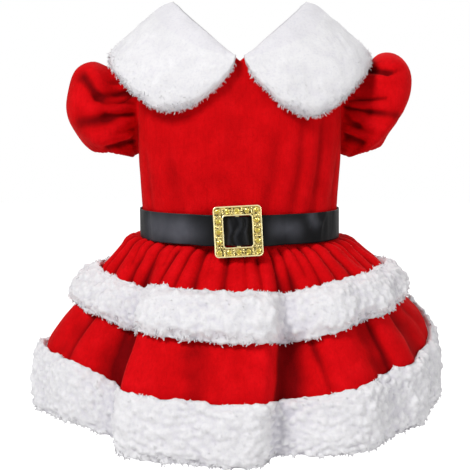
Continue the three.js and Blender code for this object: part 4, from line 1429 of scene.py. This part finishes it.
ahead = read(BELT_THREAD, "aside", aside, "ahead") + RIBBON / 2 + pull
share = read(BELT_THREAD, "aside", aside, "share")
grid[..., 2] = np.where(threaded, pinched, z)
grid[..., 1] = np.where(threaded, grid[..., 1] * (1 - share) + (back - ahead) * share, grid[..., 1])
painted_highlight = dents(SATIN_PAINTED_HIGHLIGHTS, away_from(turn, 0) * MM_PER_DEGREE, z, 0)
# The ridges of the pulls in the window are painted lighter too.
painted_highlight = painted_highlight + np.where(threaded, 0.6 * np.maximum(pull, 0), 0)
ribbon = tube_from("satin_belt", grid, RIBBON_SHEET, 1, -painted_highlight)

# %% [markdown]
# Satin is woven with long floating threads, so it is smooth, and where it doesn't shine it is nearly
# black. The painted highlights are a dark grey with faint blotches. A ramp over the hollow attribute,
# which holds the highlights as minus numbers, darkens the colour to near black everywhere but there.

# %% Give the satin its painted highlights
# Full colour in the painted highlights, and near black elsewhere.
SATIN_HIGHLIGHT_STOPS = (0.05, (1, 1, 1)), (0.5, (0.05, 0.05, 0.05)), (1.0, (0.02, 0.02, 0.02))

satin_threads, place = open_group("satin threads")
blotches = noise_of(satin_threads, place, 90, 2)
greys = ramp_of(
    satin_threads, blotches, (0.3, (0.06, 0.062, 0.074)), (0.7, (0.085, 0.088, 0.104))
)
close_group(satin_threads, greys, noise_of(satin_threads, place, 1500, 2))
satin, tree, shader = new_material(
    "black satin",
    Roughness=0.38,
    Specular_IOR_Level=0.09,
    Sheen_Weight=0.02,
    Sheen_Roughness=0.3,
)
use_group(tree, shader, satin_threads, 0.12, SATIN_HIGHLIGHT_STOPS)
finish_piece(ribbon, satin, "satin", "belt")

# %% [markdown]
# ## The slide buckle
# The buckle is a cast frame with a gilt finish. It starts as a block. Its window is inset from both
# faces and bridged through, its corners are rounded, and a channel is sunk into the front face for the
# stones, so that a rim stands up along both edges. A flat bar crosses the window at the back.


# %% Model the frame
BUCKLE_WIDTH, BUCKLE_HEIGHT, RAIL, THICK = 30.4, 32.0, 6.2, 2.8
CORNER, WINDOW_CORNER, EDGE = 2.6, 1.7, 0.22
RIM, CHANNEL_SLOPE, CHANNEL_DEPTH = 0.8, 0.22, 0.95
BAR_WIDTH, BAR_THICK, BAR_MIDDLE, BAR_EDGE = 2.4, 0.9, 0.46, 0.25
FACING = 0.9
BUCKLE_MATRIX = (
    Matrix.Translation(BUCKLE_PLACE * MM)
    @ Matrix.Rotation(math.radians(90) - BUCKLE_LEAN, 4, "X")
    @ Matrix.Rotation(BUCKLE_TILT, 4, "Z")
)


def pick(piece, kind, test):
    """In edit mode, selects only the faces or edges whose middle, in mm, and normal pass a test."""
    made = bmesh.from_edit_mesh(piece.data)
    for element in (*made.faces, *made.edges, *made.verts):
        element.select = False
    if kind == "faces":
        for face in made.faces:
            face.select_set(bool(test(face.calc_center_median() / MM, face.normal)))
    else:
        for edge in made.edges:
            a, b = (vertex.co / MM for vertex in edge.verts)
            if test((a + b) / 2, b - a):
                edge.select_set(True)
    made.select_flush_mode()
    bmesh.update_edit_mesh(piece.data)


def new_part(name, add, **shape):
    """Adds a primitive with nothing else selected, and enters edit mode on it."""
    bpy.ops.object.select_all(action="DESELECT")
    add(**shape)
    piece = bpy.context.object
    piece.name = name
    bpy.ops.object.mode_set(mode="EDIT")
    return piece


def block(name, wide, tall, thick, middle):
    """Enters edit mode on a new block of sizes in mm, whose middle is raised to a height."""
    piece = new_part(name, bpy.ops.mesh.primitive_cube_add, size=1)
    bpy.ops.mesh.select_all(action="SELECT")
    size = (wide * MM, tall * MM, thick * MM)
    bpy.ops.transform.resize(value=size, center_override=(0, 0, 0))
    bpy.ops.transform.translate(value=(0, 0, middle * MM))
    return piece


def in_window(c):
    """Whether a point of the frame is on the edge of its window."""
    half_width, half_height = BUCKLE_WIDTH / 2 - RAIL, BUCKLE_HEIGHT / 2 - RAIL
    return abs(c.x) < half_width + 0.1 and abs(c.y) < half_height + 0.1


def in_corner(c):
    """Whether a point of the window's edge is in one of its corners."""
    return in_window(c) and abs(c.x) > 8.9 and abs(c.y) > 9.7


rim = block("buckle_frame", BUCKLE_WIDTH, BUCKLE_HEIGHT, THICK, THICK / 2)
bpy.ops.mesh.select_mode(type="FACE")
for facing in (1, -1):
    pick(rim, "faces", lambda c, n: n.z * facing > FACING)
    bpy.ops.mesh.inset(thickness=RAIL * MM, depth=0)
    bpy.ops.mesh.delete(type="FACE")
bpy.ops.mesh.select_mode(type="EDGE")
pick(rim, "edges", lambda c, d: in_window(c))
bpy.ops.mesh.bridge_edge_loops()
pick(rim, "edges", lambda c, d: abs(d.z) > 1 and not in_window(c))
bpy.ops.mesh.bevel(offset=CORNER * MM, segments=6, affect="EDGES")
pick(rim, "edges", lambda c, d: abs(d.z) > 1 and in_corner(c))
bpy.ops.mesh.bevel(offset=WINDOW_CORNER * MM, segments=4, affect="EDGES")
bpy.ops.mesh.select_mode(type="FACE")
pick(rim, "faces", lambda c, n: n.z > FACING)
bpy.ops.mesh.inset(thickness=RIM * MM, depth=0, use_boundary=True)
bpy.ops.mesh.inset(thickness=CHANNEL_SLOPE * MM, depth=-CHANNEL_DEPTH * MM, use_boundary=True)
bpy.ops.mesh.select_mode(type="EDGE")
bpy.ops.mesh.select_all(action="DESELECT")
bpy.ops.mesh.edges_select_sharp(sharpness=math.radians(50))
bpy.ops.mesh.bevel(offset=EDGE * MM, segments=2, affect="EDGES", clamp_overlap=True)
bpy.ops.object.mode_set(mode="OBJECT")

bar = block("buckle_bar", BAR_WIDTH, BUCKLE_HEIGHT - RAIL, BAR_THICK, BAR_MIDDLE)
bpy.ops.mesh.bevel(offset=BAR_EDGE * MM, segments=3, affect="EDGES")
bpy.ops.object.mode_set(mode="OBJECT")
print("frame faces", len(rim.data.polygons), "bar faces", len(bar.data.polygons))

# %% [markdown]
# Round stones sit in the channel, five to a side with the corner ones shared. Each is a low faceted
# dome: a short band called the girdle, a sloping crown, and a flat table on top. Small gilt beads hold
# it, as prongs do on a setting. One stone and one bead are modelled and then copied to their places.

# %% Set the stones and the beads
CHANNEL_FLOOR = THICK - CHANNEL_DEPTH
STONE_RADIUS, GIRDLE_RADIUS, GIRDLE = 1.5, 1.6, 0.5
BEAD_RADIUS, BEAD_ASIDE = 0.5, 1.35
STONES_PER_SIDE = 4


def copies(name, model, places, turns):
    """One mesh of many copies of a model, each at its place in mm and turned about its own axis."""
    made = bmesh.new()
    for spot, angle in zip(places, turns):
        copy = model.data.copy()
        copy.transform(Matrix.Translation(Vector(spot) * MM) @ Matrix.Rotation(angle, 4, "Z"))
        made.from_mesh(copy)
        bpy.data.meshes.remove(copy)
    mesh = bpy.data.meshes.new(name)
    made.to_mesh(mesh)
    made.free()
    piece = bpy.data.objects.new(name, mesh)
    bpy.context.collection.objects.link(piece)
    return piece


stone = new_part(
    "one_stone",
    bpy.ops.mesh.primitive_cone_add,
    vertices=12,
    radius1=STONE_RADIUS * MM,
    radius2=GIRDLE_RADIUS * MM,
    depth=GIRDLE * MM,
)
bpy.ops.mesh.select_mode(type="FACE")
pick(stone, "faces", lambda c, n: n.z > FACING)
for rise, narrowing in ((0.32, 0.78), (0.18, 0.62)):
    bpy.ops.mesh.extrude_region_move(TRANSFORM_OT_translate={"value": (0, 0, rise * MM)})
    bpy.ops.transform.resize(value=(narrowing, narrowing, 1))
bpy.ops.object.mode_set(mode="OBJECT")
bead = new_part(
    "one_bead",
    bpy.ops.mesh.primitive_uv_sphere_add,
    segments=10,
    ring_count=7,
    radius=BEAD_RADIUS * MM,
)
bpy.ops.object.mode_set(mode="OBJECT")
bead.data.polygons.foreach_set("use_smooth", np.ones(len(bead.data.polygons), bool))

across, up = (BUCKLE_WIDTH - RAIL) / 2, (BUCKLE_HEIGHT - RAIL) / 2
corners = np.array([(-across, -up), (across, -up), (across, up), (-across, up)])
stone_places, bead_places = [], []
for start, end in zip(corners, np.roll(corners, -1, 0)):
    run = end - start
    side_out = np.array([run[1], -run[0]]) / np.hypot(*run)
    for k in range(STONES_PER_SIDE):
        stone_places.append((*(start + run * k / STONES_PER_SIDE), CHANNEL_FLOOR + GIRDLE / 2))
        between = start + run * (k + 0.5) / STONES_PER_SIDE
        for off in (-BEAD_ASIDE, BEAD_ASIDE):
            bead_places.append((*(between + side_out * off), CHANNEL_FLOOR + 0.3))
        bead_places.append((*between, CHANNEL_FLOOR + 0.12))
stones = copies("buckle_stones", stone, stone_places, random.uniform(0, 0.5, len(stone_places)))
beads = copies("buckle_beads", bead, bead_places, np.zeros(len(bead_places)))
for model in (stone, bead):
    bpy.data.objects.remove(model)

# %% [markdown]
# The metal is bright on its rims and dull in the channel, where polish doesn't reach and the stones
# shade it. So the faces of the channel's floor get a material of their own: rougher gilt with dark
# patches of painted shade. The stones are amber glass with a foil back: they are dark from one side and
# flash from another, so a facing mask mixes two colours, a painted flash that is lightest where a
# facet is seen at a slant.

# %% Finish the metal and the stones
gilding, place = open_group("gilding")
wear = noise_of(gilding, place, 600, 3)
golds = ramp_of(gilding, wear, (0.3, (0.93, 0.76, 0.34)), (0.6, (1.0, 0.9, 0.52)))
close_group(gilding, golds, noise_of(gilding, place, 1300, 2))
gilt, tree, shader = new_material("gilt metal", Metallic=1, Roughness=0.22)
use_group(tree, shader, gilding, 0.03)

channel_shade_group, place = open_group("channel painted shade")
spots = noise_of(channel_shade_group, place, 900, 3)
# Painted shade in the channel: dark patches among the gilt, by noise.
channel_shade_ramp = ramp_of(channel_shade_group, spots, (0.4, (0.05, 0.04, 0.008)), (0.6, (0.8, 0.66, 0.24)))
close_group(channel_shade_group, channel_shade_ramp, spots)
dull_shaded_gilt, tree, shader = new_material("dull gilt with painted shade in the channel", Metallic=0.9, Roughness=0.4)
use_group(tree, shader, channel_shade_group, 0.1)

amber, tree, shader = new_material(
    "amber stone", Roughness=0.06, Metallic=0.55, Coat_Weight=1, Coat_Roughness=0.03
)
# Painted flash: dark where a facet faces the eye and bright where it is seen at a slant.
facing = node_of(tree, "ShaderNodeLayerWeight", Blend=0.35)
painted_flash = ramp_of(
    tree, facing.outputs["Facing"], (0.05, (0.5, 0.38, 0.02)), (0.5, (1.0, 0.92, 0.5))
)
tree.links.new(painted_flash, shader.inputs["Base Color"])

for part in (rim, bar):
    select_only(part)
    bpy.ops.object.shade_smooth_by_angle(angle=math.radians(40))
for part in (rim, bar, stones, beads):
    part.data.transform(BUCKLE_MATRIX)
finish_piece(rim, gilt, "buckle_metal", "buckle")
rim.data.materials.append(dull_shaded_gilt)
back_to_local = BUCKLE_MATRIX.inverted()
for face in rim.data.polygons:
    height = (back_to_local @ face.center).z / MM
    if abs(height - CHANNEL_FLOOR) < 0.05:
        face.material_index = 1
finish_piece(bar, gilt, "buckle_metal")
finish_piece(beads, gilt, "buckle_metal")
finish_piece(stones, amber, "stone")

# %% [markdown]
# ## The end
# The last cell prints that the dress is built.


print("the dress is built")
